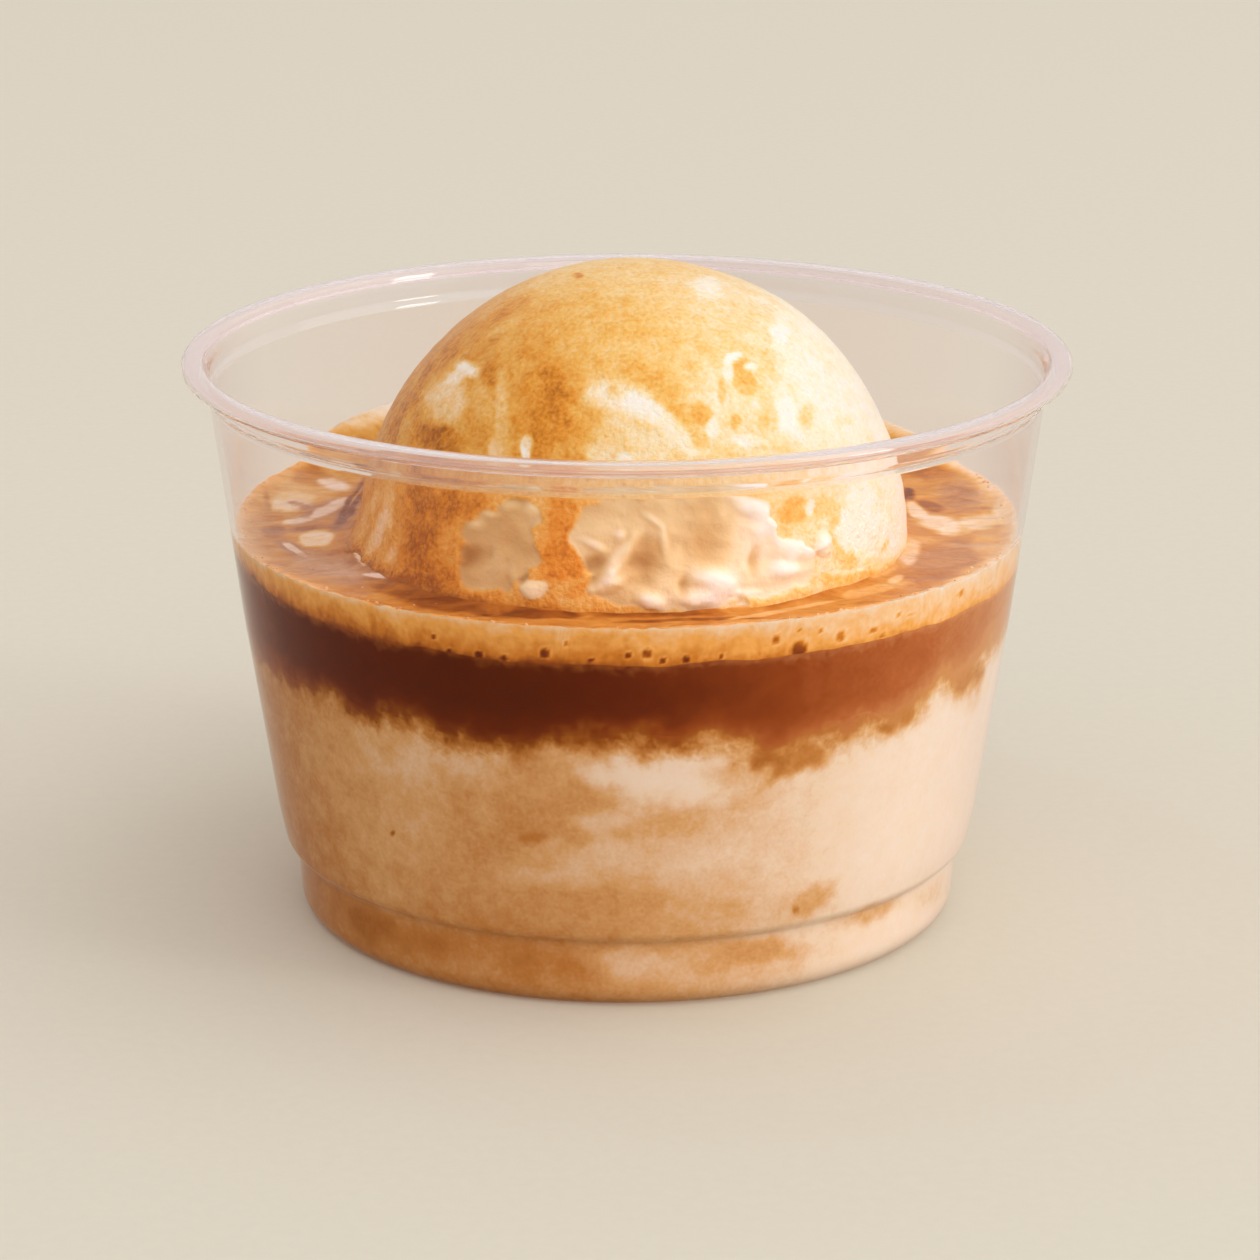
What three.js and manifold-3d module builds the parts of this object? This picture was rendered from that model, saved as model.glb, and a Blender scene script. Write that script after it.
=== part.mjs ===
// Affogato: a scoop of ice cream half sunk in coffee and milk, in a clear dessert cup.
// Millimetres, +Z up. The origin is the centre of the cup's foot and the front faces -Y.
// Azimuth is measured from the front towards +X, elevation up from the horizontal, in degrees.

import * as THREE from 'three';
import { mergeVertices } from 'three/addons/utils/BufferGeometryUtils.js';
import { ImprovedNoise } from 'three/addons/math/ImprovedNoise.js';
import Module from 'manifold-3d';

const wasm = await Module();
wasm.setup();

// Cup: thin thermoformed wall, rolled rim, lid ledge, stacking step and a foot ring.
// FOOT_START is the outline's point where the flat of the foot turns into its rounding.
const CUP_HEIGHT = 63.4;
const WALL = 0.6;
const RIM_RADIUS = 49;
const BEAD_WIDTH = 2.6;
const BEAD_DEPTH = 1.75;
const BEAD_OPENING = 30;
const LEDGE = { height: 59.2, rise: 0.6, radius: 46.6, top: 61.2 };
const SIDE = [
  { height: 11.5, radius: 39.35 },
  { height: 34, radius: 42.8 },
  { height: LEDGE.height, radius: 46.1 },
];
const STEP = { height: 8.4, radius: 38.65, inner: 37.4, depth: 0.9 };
const FOOT = { radius: 36.9, round: 2.2 };
const RECESS = { radius: 30, slope: 1.2, depth: 1 };
const FOOT_START = 3;

// Drink: milk below, espresso above it, and a crema foam that makes the surface.
const GAP = 0.3;
const SURFACE = 44.1;
const CREMA_DEPTH = 3.6;
const ESPRESSO_BOTTOM = 32.4;
const MILK_STRAIGHT = 26.5;
const SHELF_RING = 40;
const SHELF_FADE = { share: 0.8, inFromWall: 6 };
const SURFACE_ROWS = [42.2, 40.4, 38, 35.2, 32, 28.5, 22];
const THIN_FOAM = { azimuth: -82, width: 30, rise: 1.6 };
const FOAM_WAVE = { height: 0.3, size: 7 };
const MENISCUS = { rise: 0.5, width: 1.6 };
const RIPPLE = { height: 0.45, size: 9 };

// Tongues of espresso that run down into the milk along the wall.
const TONGUES = [
  { azimuth: 22, width: 6.5, drop: 3.9 },
  { azimuth: 44, width: 4, drop: 2 },
  { azimuth: 59, width: 3, drop: 1.6 },
  { azimuth: -17, width: 3.2, drop: 1.3 },
  { azimuth: -41, width: 2.6, drop: 1.2 },
  { azimuth: 118, width: 7, drop: 2.6 },
  { azimuth: 171, width: 5, drop: 3.2 },
  { azimuth: 232, width: 6, drop: 2.2 },
];
const SHELF_WAVE = { height: 0.7, size: 16 };

// Bank of foam left on the back wall above the drink.
const BANK = { from: 118, peak: 205, to: 240, rise: 4.5, width: 6.5, fullness: 0.6 };

// Ice cream: a round scoop set off towards the front.
const SCOOP = { x: 0.8, y: -8, z: 44.8, radius: 29.9 };
const SCOOP_ELEVATIONS = [
  80, 70, 60, 51, 43, 36, 30, 25.5, 21.5, 18, 15, 12, 9.2, 6.4, 3.8, 1.4, -1, -3.5, -8, -20, -38, -62,
];
const SCOOP_COLUMNS = 72;
const FRONT_CROWDING = 0.42;
const SKIRT = { everywhere: 0.5, spread: 30, elevation: -3.5, height: 6.5 };
const MELTED_SIDES = [{ azimuth: -78, width: 2.4 }, { azimuth: 88, width: 2.2 }];
const SHOWN_FROM = { elevation: -8, fully: 0 };

// Where the surface is torn open, in azimuth, elevation and half sizes, sunk by depth.
const TORN = [
  { azimuth: -29, elevation: 10.5, wide: 9.5, high: 9, depth: 1 },
  { azimuth: 3, elevation: 9.5, wide: 17, high: 9.5, depth: 1.3 },
  { azimuth: 33, elevation: 9, wide: 12, high: 8.5, depth: 1 },
];

// Lumps that stand out of the torn stretches and along the foot of the scoop.
const LUMPS = [
  { azimuth: -20.3, elevation: 3, size: 2.7, height: 2 },
  { azimuth: -9, elevation: 3.5, size: 2.6, height: 1.6 },
  { azimuth: -3.5, elevation: 12, size: 2.2, height: 1.2 },
  { azimuth: 0.5, elevation: 17, size: 2.2, height: 1.1 },
  { azimuth: 3, elevation: 3, size: 2.6, height: 1.9 },
  { azimuth: 13, elevation: 6.5, size: 4, height: 2.2 },
  { azimuth: 21, elevation: 2.2, size: 3, height: 2 },
  { azimuth: 26, elevation: 15, size: 3.2, height: 1.5 },
  { azimuth: 32, elevation: 7.5, size: 3, height: 2 },
  { azimuth: 40.5, elevation: 4.5, size: 2.8, height: 1.7 },
  { azimuth: -36, elevation: 8, size: 3.2, height: 0.9 },
  { azimuth: -24, elevation: 14, size: 3.2, height: 0.8 },
];
const RAGGED = { size: 7, reach: 0.25, margin: 0.15, edge: 0.3 };
const CRAG = { height: 1.3, size: 5.5 };
const DIMPLE = { height: 0.18, size: 13 };

const COLUMNS = 64;
const noise = new ImprovedNoise();
const rad = THREE.MathUtils.degToRad;

// Shortest way round from one azimuth to another, in degrees.
function turnBetween(from, to) {
  return THREE.MathUtils.euclideanModulo(to - from + 180, 360) - 180;
}

function bell(distance, width) {
  return Math.exp(-((distance / width) ** 2));
}

// Smooth unevenness of about one unit either way at a point in space.
function uneven(x, y, z, size) {
  return 1.6 * noise.noise(x / size + 11.3, y / size + 5.7, z / size + 3.1);
}

function arc(centre, halfWidth, halfHeight, from, to, steps) {
  const points = [];
  for (let i = 0; i <= steps; i += 1) {
    const angle = rad(THREE.MathUtils.lerp(from, to, i / steps));
    const x = centre.x + halfWidth * Math.cos(angle);
    points.push(new THREE.Vector2(x, centre.y + halfHeight * Math.sin(angle)));
  }
  return points;
}

// Outside of the cup from the middle of its base up to the lid ledge, as radius and height.
function cupOutside() {
  const footCentre = new THREE.Vector2(FOOT.radius - FOOT.round, FOOT.round);
  return [
    new THREE.Vector2(0, RECESS.depth),
    new THREE.Vector2(RECESS.radius, RECESS.depth),
    new THREE.Vector2(RECESS.radius + RECESS.slope, 0),
    ...arc(footCentre, FOOT.round, FOOT.round, -90, 0, 3),
    new THREE.Vector2(STEP.inner, STEP.height - STEP.depth),
    new THREE.Vector2(STEP.radius, STEP.height),
    ...SIDE.map((place) => new THREE.Vector2(place.radius, place.height)),
    new THREE.Vector2(LEDGE.radius, LEDGE.height + LEDGE.rise),
    new THREE.Vector2(LEDGE.radius, LEDGE.top),
  ];
}

// The same outline moved inwards by a distance, square to each stretch of it.
function inset(outline, distance) {
  const squares = outline.slice(1).map((point, i) => {
    const along = point.clone().sub(outline[i]).normalize();
    return new THREE.Vector2(-along.y, along.x);
  });
  return outline.map((point, i) => {
    const before = squares[Math.max(i - 1, 0)];
    const after = squares[Math.min(i, squares.length - 1)];
    const reach = distance / (1 + before.dot(after));
    return point.clone().addScaledVector(before, reach).addScaledVector(after, reach);
  });
}

const outside = cupOutside();
const drinkSide = inset(outside, WALL + GAP);

// Radius of the drink's side at a height above the foot.
function drinkRadius(height) {
  const above = drinkSide.findIndex((point, i) => i > FOOT_START && point.y >= height);
  const low = drinkSide[above - 1];
  const high = drinkSide[above];
  return THREE.MathUtils.mapLinear(height, low.y, high.y, low.x, high.x);
}

// One closed body: corners shared, collapsed triangles dropped and its faces turned out.
function closed(geometry) {
  geometry.deleteAttribute('normal');
  geometry.deleteAttribute('uv');
  const merged = mergeVertices(geometry, 1e-4);
  const index = merged.index.array;
  const kept = [];
  const corners = [new THREE.Vector3(), new THREE.Vector3(), new THREE.Vector3()];
  let volume = 0;
  for (let i = 0; i < index.length; i += 3) {
    const [a, b, c] = [index[i], index[i + 1], index[i + 2]];
    if (a === b || b === c || c === a) continue;
    kept.push(a, b, c);
    [a, b, c].forEach((n, k) => corners[k].fromBufferAttribute(merged.attributes.position, n));
    volume += corners[0].dot(corners[1].cross(corners[2]));
  }
  merged.setIndex(volume < 0 ? kept.reverse() : kept);
  return merged;
}

// A body turned about +Z, whose rows are functions from an azimuth to radius and height.
function turned(rows, columns = COLUMNS, azimuthOf = (share) => 360 * share) {
  const guide = rows.map((row) => row(0));
  const geometry = new THREE.LatheGeometry(guide, columns);
  const position = geometry.attributes.position;
  for (let i = 0; i < position.count; i += 1) {
    const column = Math.floor(i / rows.length) % columns;
    const azimuth = azimuthOf(column / columns);
    const place = rows[i % rows.length](azimuth);
    const x = place.x * Math.sin(rad(azimuth));
    position.setXYZ(i, x, -place.x * Math.cos(rad(azimuth)), place.y);
  }
  return closed(geometry);
}

function steady(points) {
  return points.map((point) => () => point);
}

function toManifold(geometry) {
  const vertProperties = new Float32Array(geometry.attributes.position.array);
  const triVerts = new Uint32Array(geometry.index.array);
  return new wasm.Manifold(new wasm.Mesh({ numProp: 3, vertProperties, triVerts }));
}

function fromManifold(manifold) {
  const mesh = manifold.getMesh();
  const geometry = new THREE.BufferGeometry();
  geometry.setAttribute('position', new THREE.BufferAttribute(mesh.vertProperties, 3));
  geometry.setIndex(new THREE.BufferAttribute(mesh.triVerts, 1));
  return geometry;
}

function cutBy(geometry, cutter) {
  return fromManifold(toManifold(geometry).subtract(toManifold(cutter)));
}

function cupGeometry() {
  const centre = new THREE.Vector2(RIM_RADIUS - BEAD_WIDTH / 2, CUP_HEIGHT - BEAD_DEPTH / 2);
  const bead = arc(
    centre, BEAD_WIDTH / 2, BEAD_DEPTH / 2, BEAD_OPENING - 180, 180 - BEAD_OPENING, 8);
  const inside = inset(outside, WALL).reverse();
  return turned(steady([...outside, ...bead, ...inside]));
}

// Height where the espresso ends and the milk begins, at the wall.
function shelfHeight(azimuth) {
  const x = SHELF_RING * Math.sin(rad(azimuth));
  const y = -SHELF_RING * Math.cos(rad(azimuth));
  let height = ESPRESSO_BOTTOM + SHELF_WAVE.height * uneven(x, y, 0, SHELF_WAVE.size);
  for (const tongue of TONGUES) {
    height -= tongue.drop * bell(turnBetween(azimuth, tongue.azimuth), tongue.width);
  }
  return height;
}

// Height where the foam ends and the espresso begins; the foam thins out at the left.
function foamHeight(azimuth) {
  const left = bell(turnBetween(azimuth, THIN_FOAM.azimuth), THIN_FOAM.width);
  const x = SHELF_RING * Math.sin(rad(azimuth));
  const y = -SHELF_RING * Math.cos(rad(azimuth));
  const wave = FOAM_WAVE.height * uneven(x, y, 4, FOAM_WAVE.size);
  return SURFACE - CREMA_DEPTH + THIN_FOAM.rise * left + wave;
}

function bankRise(azimuth, inFromWall) {
  const turn = THREE.MathUtils.euclideanModulo(azimuth, 360);
  if (turn <= BANK.from || turn >= BANK.to) return 0;
  const nearEnd = turn < BANK.peak ? BANK.from : BANK.to;
  const share = (turn - nearEnd) / (BANK.peak - nearEnd);
  const height = BANK.rise * Math.sin(share * Math.PI / 2) ** BANK.fullness;
  return height * (1 - THREE.MathUtils.smoothstep(inFromWall, 0, BANK.width));
}

// Height of the drink's surface, with its ripples, the meniscus and the bank of foam.
function surfaceHeight(azimuth, radius, wallRadius) {
  const inFromWall = wallRadius - radius;
  const x = radius * Math.sin(rad(azimuth));
  const y = -radius * Math.cos(rad(azimuth));
  const calm = THREE.MathUtils.smoothstep(inFromWall, 0, 2 * MENISCUS.width);
  const ripple = RIPPLE.height * uneven(x, y, 7, RIPPLE.size) * calm;
  const meniscus = MENISCUS.rise * bell(inFromWall, MENISCUS.width);
  return SURFACE + ripple + meniscus + bankRise(azimuth, inFromWall);
}

// A level row of a layer: radius as given, height from a function of azimuth and radius.
function surfaceRow(radius, heightAt) {
  return (azimuth) => new THREE.Vector2(radius, heightAt(azimuth, radius));
}

// The row where a layer's face meets the wall.
function wallRow(heightAt) {
  return (azimuth) => {
    const height = heightAt(azimuth);
    return new THREE.Vector2(drinkRadius(height), height);
  };
}

function middleRow(height) {
  return () => new THREE.Vector2(0, height);
}

// The face between two layers flattens from the wall to its level middle.
function shelfRows(heightAt, middle, shift) {
  const faded = (azimuth) => {
    const height = THREE.MathUtils.lerp(middle, heightAt(azimuth), SHELF_FADE.share) + shift;
    return new THREE.Vector2(drinkRadius(height) - SHELF_FADE.inFromWall, height);
  };
  return [wallRow((azimuth) => heightAt(azimuth) + shift), faded, middleRow(middle + shift)];
}

function milkGeometry(cutter) {
  const lower = steady(drinkSide.filter((point, i) => i <= FOOT_START || point.y < MILK_STRAIGHT));
  const straight = wallRow(() => MILK_STRAIGHT);
  const top = shelfRows(shelfHeight, ESPRESSO_BOTTOM, -GAP / 2);
  return cutBy(turned([...lower, straight, ...top]), cutter);
}

function espressoGeometry(cutter) {
  const bottom = shelfRows(shelfHeight, ESPRESSO_BOTTOM, GAP / 2).reverse();
  const waist = wallRow((azimuth) => (shelfHeight(azimuth) + foamHeight(azimuth)) / 2);
  const top = shelfRows(foamHeight, SURFACE - CREMA_DEPTH, -GAP / 2);
  return cutBy(turned([...bottom, waist, ...top]), cutter);
}

function cremaGeometry(cutter) {
  const bottom = shelfRows(foamHeight, SURFACE - CREMA_DEPTH, GAP / 2).reverse();
  const wall = drinkRadius(SURFACE);
  const edge = wallRow((azimuth) => surfaceHeight(azimuth, wall, wall));
  const top = SURFACE_ROWS.map((radius) => (
    surfaceRow(radius, (azimuth) => surfaceHeight(azimuth, radius, wall))));
  return cutBy(turned([...bottom, edge, ...top, middleRow(SURFACE)]), cutter);
}

// How far a torn stretch is sunk, with a ragged edge.
function tornDepth(azimuth, elevation, ragged) {
  let depth = 0;
  for (const patch of TORN) {
    const across = turnBetween(patch.azimuth, azimuth) / patch.wide;
    const up = (elevation - patch.elevation) / patch.high;
    const inside = 1 + RAGGED.margin - Math.hypot(across, up) + RAGGED.reach * ragged;
    const sunk = THREE.MathUtils.smoothstep(inside, 0, RAGGED.edge);
    depth = Math.max(depth, patch.depth * sunk);
  }
  return depth;
}

function lumpHeight(azimuth, elevation) {
  const perDegree = rad(1) * SCOOP.radius;
  let height = 0;
  for (const lump of LUMPS) {
    const across = turnBetween(lump.azimuth, azimuth) * perDegree;
    const up = (elevation - lump.elevation) * perDegree;
    height += lump.height * bell(Math.hypot(across, up), lump.size);
  }
  return height;
}

// Melted skirt where the scoop meets the drink, widest at its two sides.
function skirtWidth(azimuth, elevation) {
  let width = SKIRT.everywhere;
  for (const side of MELTED_SIDES) {
    width += side.width * bell(turnBetween(azimuth, side.azimuth), SKIRT.spread);
  }
  return width * bell(elevation - SKIRT.elevation, SKIRT.height);
}

function scoopRadius(azimuth, elevation) {
  const direction = new THREE.Vector3().setFromSphericalCoords(
    SCOOP.radius, rad(90 - elevation), rad(azimuth));
  const { x, y, z } = direction;
  const torn = tornDepth(azimuth, elevation, uneven(x, y, z, RAGGED.size));
  const crag = CRAG.height * uneven(x, y, z, CRAG.size) * Math.min(torn, 1);
  const shown = THREE.MathUtils.smoothstep(elevation, SHOWN_FROM.elevation, SHOWN_FROM.fully);
  const dimple = DIMPLE.height * uneven(x, y, z, DIMPLE.size);
  const relief = dimple - torn + crag + lumpHeight(azimuth, elevation);
  return SCOOP.radius + shown * relief + skirtWidth(azimuth, elevation);
}

function scoopGeometry(clearance = 0) {
  const row = (elevation) => (azimuth) => {
    const reach = scoopRadius(azimuth, elevation) + clearance;
    const radius = reach * Math.cos(rad(elevation));
    return new THREE.Vector2(radius, reach * Math.sin(rad(elevation)));
  };
  const tip = SCOOP.radius + clearance;
  const rows = [middleRow(tip), ...SCOOP_ELEVATIONS.map(row), middleRow(-tip)];
  const crowded = (share) => {
    const turn = 2 * Math.PI * share;
    return THREE.MathUtils.radToDeg(turn - FRONT_CROWDING * Math.sin(turn));
  };
  const geometry = turned(rows, SCOOP_COLUMNS, crowded);
  return geometry.translate(SCOOP.x, SCOOP.y, SCOOP.z);
}

function piece(name, geometry, colour, roughness, more = {}) {
  geometry.computeVertexNormals();
  const material = new THREE.MeshStandardMaterial({ color: colour, roughness, metalness: 0, ...more });
  const mesh = new THREE.Mesh(geometry, material);
  mesh.name = name;
  return mesh;
}

const cutter = scoopGeometry(GAP);
const clear = { transparent: true, opacity: 0.25 };

const affogato = new THREE.Group();
affogato.add(
  piece('cup', cupGeometry(), 0xf2efee, 0.08, clear),
  piece('milk_layer', milkGeometry(cutter), 0xe8c69c, 0.4),
  piece('espresso_layer', espressoGeometry(cutter), 0x6b2e10, 0.3),
  piece('crema', cremaGeometry(cutter), 0xd69a56, 0.35),
  piece('ice_cream', scoopGeometry(), 0xf6e3bd, 0.45),
);

export default affogato;
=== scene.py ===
"""Looks of an affogato in its clear dessert cup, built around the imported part.

Lengths are in millimetres unless a name says otherwise, and MM turns them into metres.
The front faces -Y. Azimuth is measured from the front towards +X and elevation up from the
horizontal, both in degrees.
"""

import math
from collections import namedtuple

import bmesh
import bpy
import numpy as np
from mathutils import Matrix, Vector, noise


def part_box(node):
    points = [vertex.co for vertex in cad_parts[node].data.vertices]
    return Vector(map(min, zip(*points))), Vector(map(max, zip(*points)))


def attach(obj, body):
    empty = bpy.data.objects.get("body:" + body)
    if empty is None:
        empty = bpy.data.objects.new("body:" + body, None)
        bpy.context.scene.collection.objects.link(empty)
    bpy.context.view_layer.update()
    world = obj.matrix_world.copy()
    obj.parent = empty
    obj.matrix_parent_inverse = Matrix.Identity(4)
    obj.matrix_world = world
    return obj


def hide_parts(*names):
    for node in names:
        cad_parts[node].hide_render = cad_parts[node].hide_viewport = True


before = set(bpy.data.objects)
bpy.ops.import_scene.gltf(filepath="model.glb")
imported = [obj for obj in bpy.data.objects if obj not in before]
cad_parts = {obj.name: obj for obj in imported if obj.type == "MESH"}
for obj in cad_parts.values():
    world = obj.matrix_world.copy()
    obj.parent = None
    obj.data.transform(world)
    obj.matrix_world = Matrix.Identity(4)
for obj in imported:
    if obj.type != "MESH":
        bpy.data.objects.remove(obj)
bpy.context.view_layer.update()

MM = 0.001

# Camera: where the photo was taken from, fitted to the lines of the cup that it shows.
CAMERA_PLACE = Vector((0, -499.17, 185.4))
CAMERA_PITCH = math.radians(17.202)
CAMERA_LENS, SENSOR_WIDTH = 132.96, 36
PHOTO_WIDTH = 1260
# The picture's middle is this many pixels right of the camera's axis.
FRAME_SHIFT = 3
# The front wall is between these distances from the camera, and is looked for at so many places.
WALL_REACH = (400, 540, 6000)

# What is painted or raised on a surface was placed on the photo, as marks. A mark is its
# x, y, half width and half height in the photo's pixels, its turn in degrees, how soft its edge is
# and how much it paints or raises. A stroke is the same on the surface, in degrees or millimetres.
Stroke = namedtuple("Stroke", "across up wide high turn soft amount")
# Strokes are rounded to these steps, because marks are placed no finer than that.
PLACE_STEP, TORN_STEP, SCOOP_STEP, DRINK_STEP = 0.5, 0.5, 0.2, 0.1
# A surface's slant is read this many pixels either side of a mark.
SLANT_REACH, WALL_SLANT_REACH = 2, 4
# Strokes whose half sizes differ by less than this share count as round.
NEARLY_ROUND = 0.12

# Cup: the driving sizes of its thermoformed wall, with the rim taken from the frame.
RIM_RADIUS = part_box("cup")[1].x / MM
CUP_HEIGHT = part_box("cup")[1].z / MM
WALL = 0.6
# Rolled bead: its outer size, sheet, steps, and where round it the sheet starts and ends.
BEAD_WIDTH = 2.6
BEAD_DEPTH = 1.75
BEAD_SHEET = 0.4
BEAD_STEPS = 15
BEAD_START, BEAD_END = 170, -125
# The rim's faces, which take the thicker plastic's look, start at this height.
RIM_FROM = 59
CUP_COLUMNS = 480
# Both IORs are lowered from PET's 1.575, because a sheet this thin hardly bends or reflects.
WALL_IOR, RIM_IOR = 1.2, 1.4
# Height of the waves that forming leaves in the sheet, and how much light passes into it.
WALL_WAVE, RIM_WAVE = 0.05, 0.01
WALL_CLEARNESS, RIM_CLEARNESS = 1, 0.92
# Outside of the wall from the middle of its foot upwards: radius, height and rounding.
CUP_OUTLINE = [
    (0, 1, 0),
    (30, 1, 0.5),
    (31.2, 0, 0.4),
    (36.9, 0, 2.1),
    (37.4, 7.5, 0.5),
    (38.65, 8.4, 0.45),
    (39.35, 11.5, 2),
    (42.8, 34, 0),
    (46.1, 59.2, 0.35),
    (46.6, 59.8, 0.35),
    (46.6, 61.2, 0),
]
# Food reaches this far into the wall, so that no air shows between them.
BITE = 0.25

# Drink: heights of its surface and of the two faces between its layers.
SURFACE = 44.1
# The height of the surface that its marks were placed on, which its ripples reach.
MARKED_SURFACE = 44.2
FOAM_BOTTOM = 40.5
ESPRESSO_BOTTOM = 32.4
# The milk's top edge is hidden this far up behind the espresso.
LAP = 0.8
# The foam's section starts at this radius, before it is fitted round the scoop.
FOAM_CORE = 20
FOAM_SIDE_CUTS, FOAM_TOP_CUTS = 14, 84
DRINK_COLUMNS = 420
SHARP_ANGLE = math.radians(55)
# Columns are spun coarsely and split this many times.
SPLITS = 4
# Height of the rows that the sides of the milk and the espresso are cut into.
ROW = 0.5
# Thinner foam on the left, and tongues of espresso that hang into the milk: azimuth, width, size.
THIN_FOAM = (-82, 30, 1.6)
TONGUES = [
    (22, 6.5, 3.9), (44, 4, 2), (59, 3, 1.6), (-17, 3.2, 1.3), (-41, 2.6, 1.2),
    (118, 7, 2.6), (171, 5, 3.2), (232, 6, 2.2),
]
# Bank of foam left on the back wall: where it starts, peaks and ends, and how it rises.
BANK_FROM, BANK_PEAK, BANK_TO = 118, 205, 240
BANK_RISE, BANK_WIDTH, BANK_FULLNESS = 4.5, 6.5, 0.6
# Where the foam climbs the scoop and the wall, and how far it reaches in under the scoop's ball.
MENISCUS_RISE, MENISCUS_WIDTH = 0.8, 1.3
WALL_MENISCUS_RISE, WALL_MENISCUS_WIDTH = 0.45, 1.4
UNDER_SCOOP = 1.5
# Waves of the two faces between the layers: height, size and where in the noise they are.
SHELF_WAVES = [(0.7, 16, 2.3), (0.35, 5, 1.1)]
FOAM_WAVES = [(0.25, 7, 4.1), (0.12, 2.2, 3.2)]
# The milk's side doesn't follow the waves of its top below the first height, and the cup's step
# is below the second.
MILK_STEADY, ABOVE_STEP = 18, 12
# How ragged strokes are at the wall, on the surface and on the scoop, as waves.
SIDE_RAGGED = [(0.35, 3, 6.2), (0.15, 1.2, 9.4)]
STREAKS = [(0.2, 3, 2.2), (0.1, 1.2, 7.1)]
GLAZE_RAGGED = [(0.26, 3, 8.2), (0.22, 1.1, 4.4)]
# Radius at which the side's raggedness is taken, and a depth where nothing of the foam shows.
SIDE_RING = 40
CLEAR_OF_FOAM = 8
# What is this near the wall is the foam's side. Its tone goes by height, from its bottom to its top.
SIDE_WITHIN = 0.05
SIDE_TONES = [(0, 0.34), (0.15, 0.46), (0.45, 0.56), (0.75, 0.61), (0.9, 0.66), (1, 0.8)]
SURFACE_TONE, RING_TONE, BANK_TONE = 0.48, 0.62, 0.98

# How strongly the light comes through the drink at the wall, by azimuth.
LIT_ROUND = [(-180, 0.5), (-95, 0.5), (-72, 0.36), (-50, 0.1), (-25, 0.02), (-5, 0.08), (12, 0.3),
             (32, 0.56), (55, 0.8), (75, 1), (180, 0.5)]
# How much coffee clouds the milk, by azimuth, with painted shade that darkens it more on the left, away
# from the light.
CLOUDED_AND_SHADED_ROUND = [(-180, 0.3), (-75, 0.54), (-35, 0.5), (-8, 0.46), (15, 0.34), (40, 0.1),
                 (75, 0.04), (120, 0.15), (180, 0.3)]
# How much darker the milk gets towards the cup's foot.
FOOT_DARKENING = 0.04
# Height above which the coffee looks dark at the wall, by azimuth.
DARK_FROM_ROUND = [
    (-180, 32), (-73, 31.7), (-57, 32), (-47, 32.6), (-41, 31.2), (-35, 32.8), (-28, 32), (-18, 31),
    (-9, 32.4), (0, 32.7), (7.5, 31.6), (12, 32.8), (16, 31.2), (22, 30), (29, 31), (38, 30.8), (45, 31),
    (52, 33.6), (59, 32.4), (65, 34.1), (75, 34.2), (110, 32.5), (180, 32),
]
# Marks of the stains in the milk along the wall, from 0 for milk to 1 for espresso.
STAINS = [
    (510, 748, 18, 16, 0, 0.7, 0.72), (545, 742, 26, 16, 0, 0.7, 0.62), (570, 765, 36, 26, 0, 0.6, 0.42),
    (600, 745, 30, 12, 0, 0.6, 0.5), (490, 760, 20, 14, 0, 0.6, 0.4), (683, 745, 16, 10, 0, 0.7, 0.74),
    (775, 750, 34, 24, -15, 0.5, 0.56), (764, 764, 18, 16, 0, 0.7, 0.7), (814, 752, 16, 14, 0, 0.7, 0.62),
    (735, 775, 14, 12, 60, 0.5, 0.36), (883, 727, 14, 9, 0, 0.7, 0.62), (903, 710, 10, 14, 0, 0.5, 0.6),
    (962, 672, 18, 28, 10, 0.8, 0.56), (700, 805, 60, 10, 8, 0.6, 0.34), (640, 800, 40, 9, -14, 0.6, 0.36),
    (740, 790, 30, 12, 25, 0.6, 0.34), (605, 820, 30, 10, 0, 0.6, 0.32), (542, 832, 30, 9, 0, 0.5, 0.5),
    (530, 838, 14, 5, 0, 0.5, 0.6), (560, 880, 60, 12, 0, 0.9, 0.36), (700, 860, 80, 20, 0, 0.9, 0.24),
    (665, 770, 62, 30, 0, 0.6, 0.1), (600, 860, 60, 16, 0, 0.9, 0.32), (400, 830, 60, 70, 0, 0.8, 0.4),
    (350, 760, 50, 40, 0, 0.9, 0.44), (330, 700, 40, 14, -20, 0.6, 0.5), (430, 755, 60, 30, 0, 0.9, 0.32),
    (540, 905, 90, 16, 0, 0.6, 0.46), (720, 905, 26, 8, 0, 0.6, 0.4), (808, 900, 28, 14, 20, 0.5, 0.42),
    (795, 907, 3, 2.5, 0, 0.4, 0.7), (395, 830, 2, 2.5, 0, 0.4, 0.85), (425, 945, 30, 14, -20, 0.5, 0.6),
    (370, 925, 24, 14, -30, 0.5, 0.66), (550, 965, 50, 14, -5, 0.5, 0.56),
    (460, 965, 40, 10, -10, 0.9, 0.5), (640, 962, 46, 12, 0, 0.9, 0.3), (760, 952, 42, 12, 4, 0.5, 0.44),
    (865, 912, 36, 10, 18, 0.8, 0.36), (720, 975, 60, 8, 4, 0.6, 0.34), (930, 890, 20, 14, 30, 0.8, 0.24),
]

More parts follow.
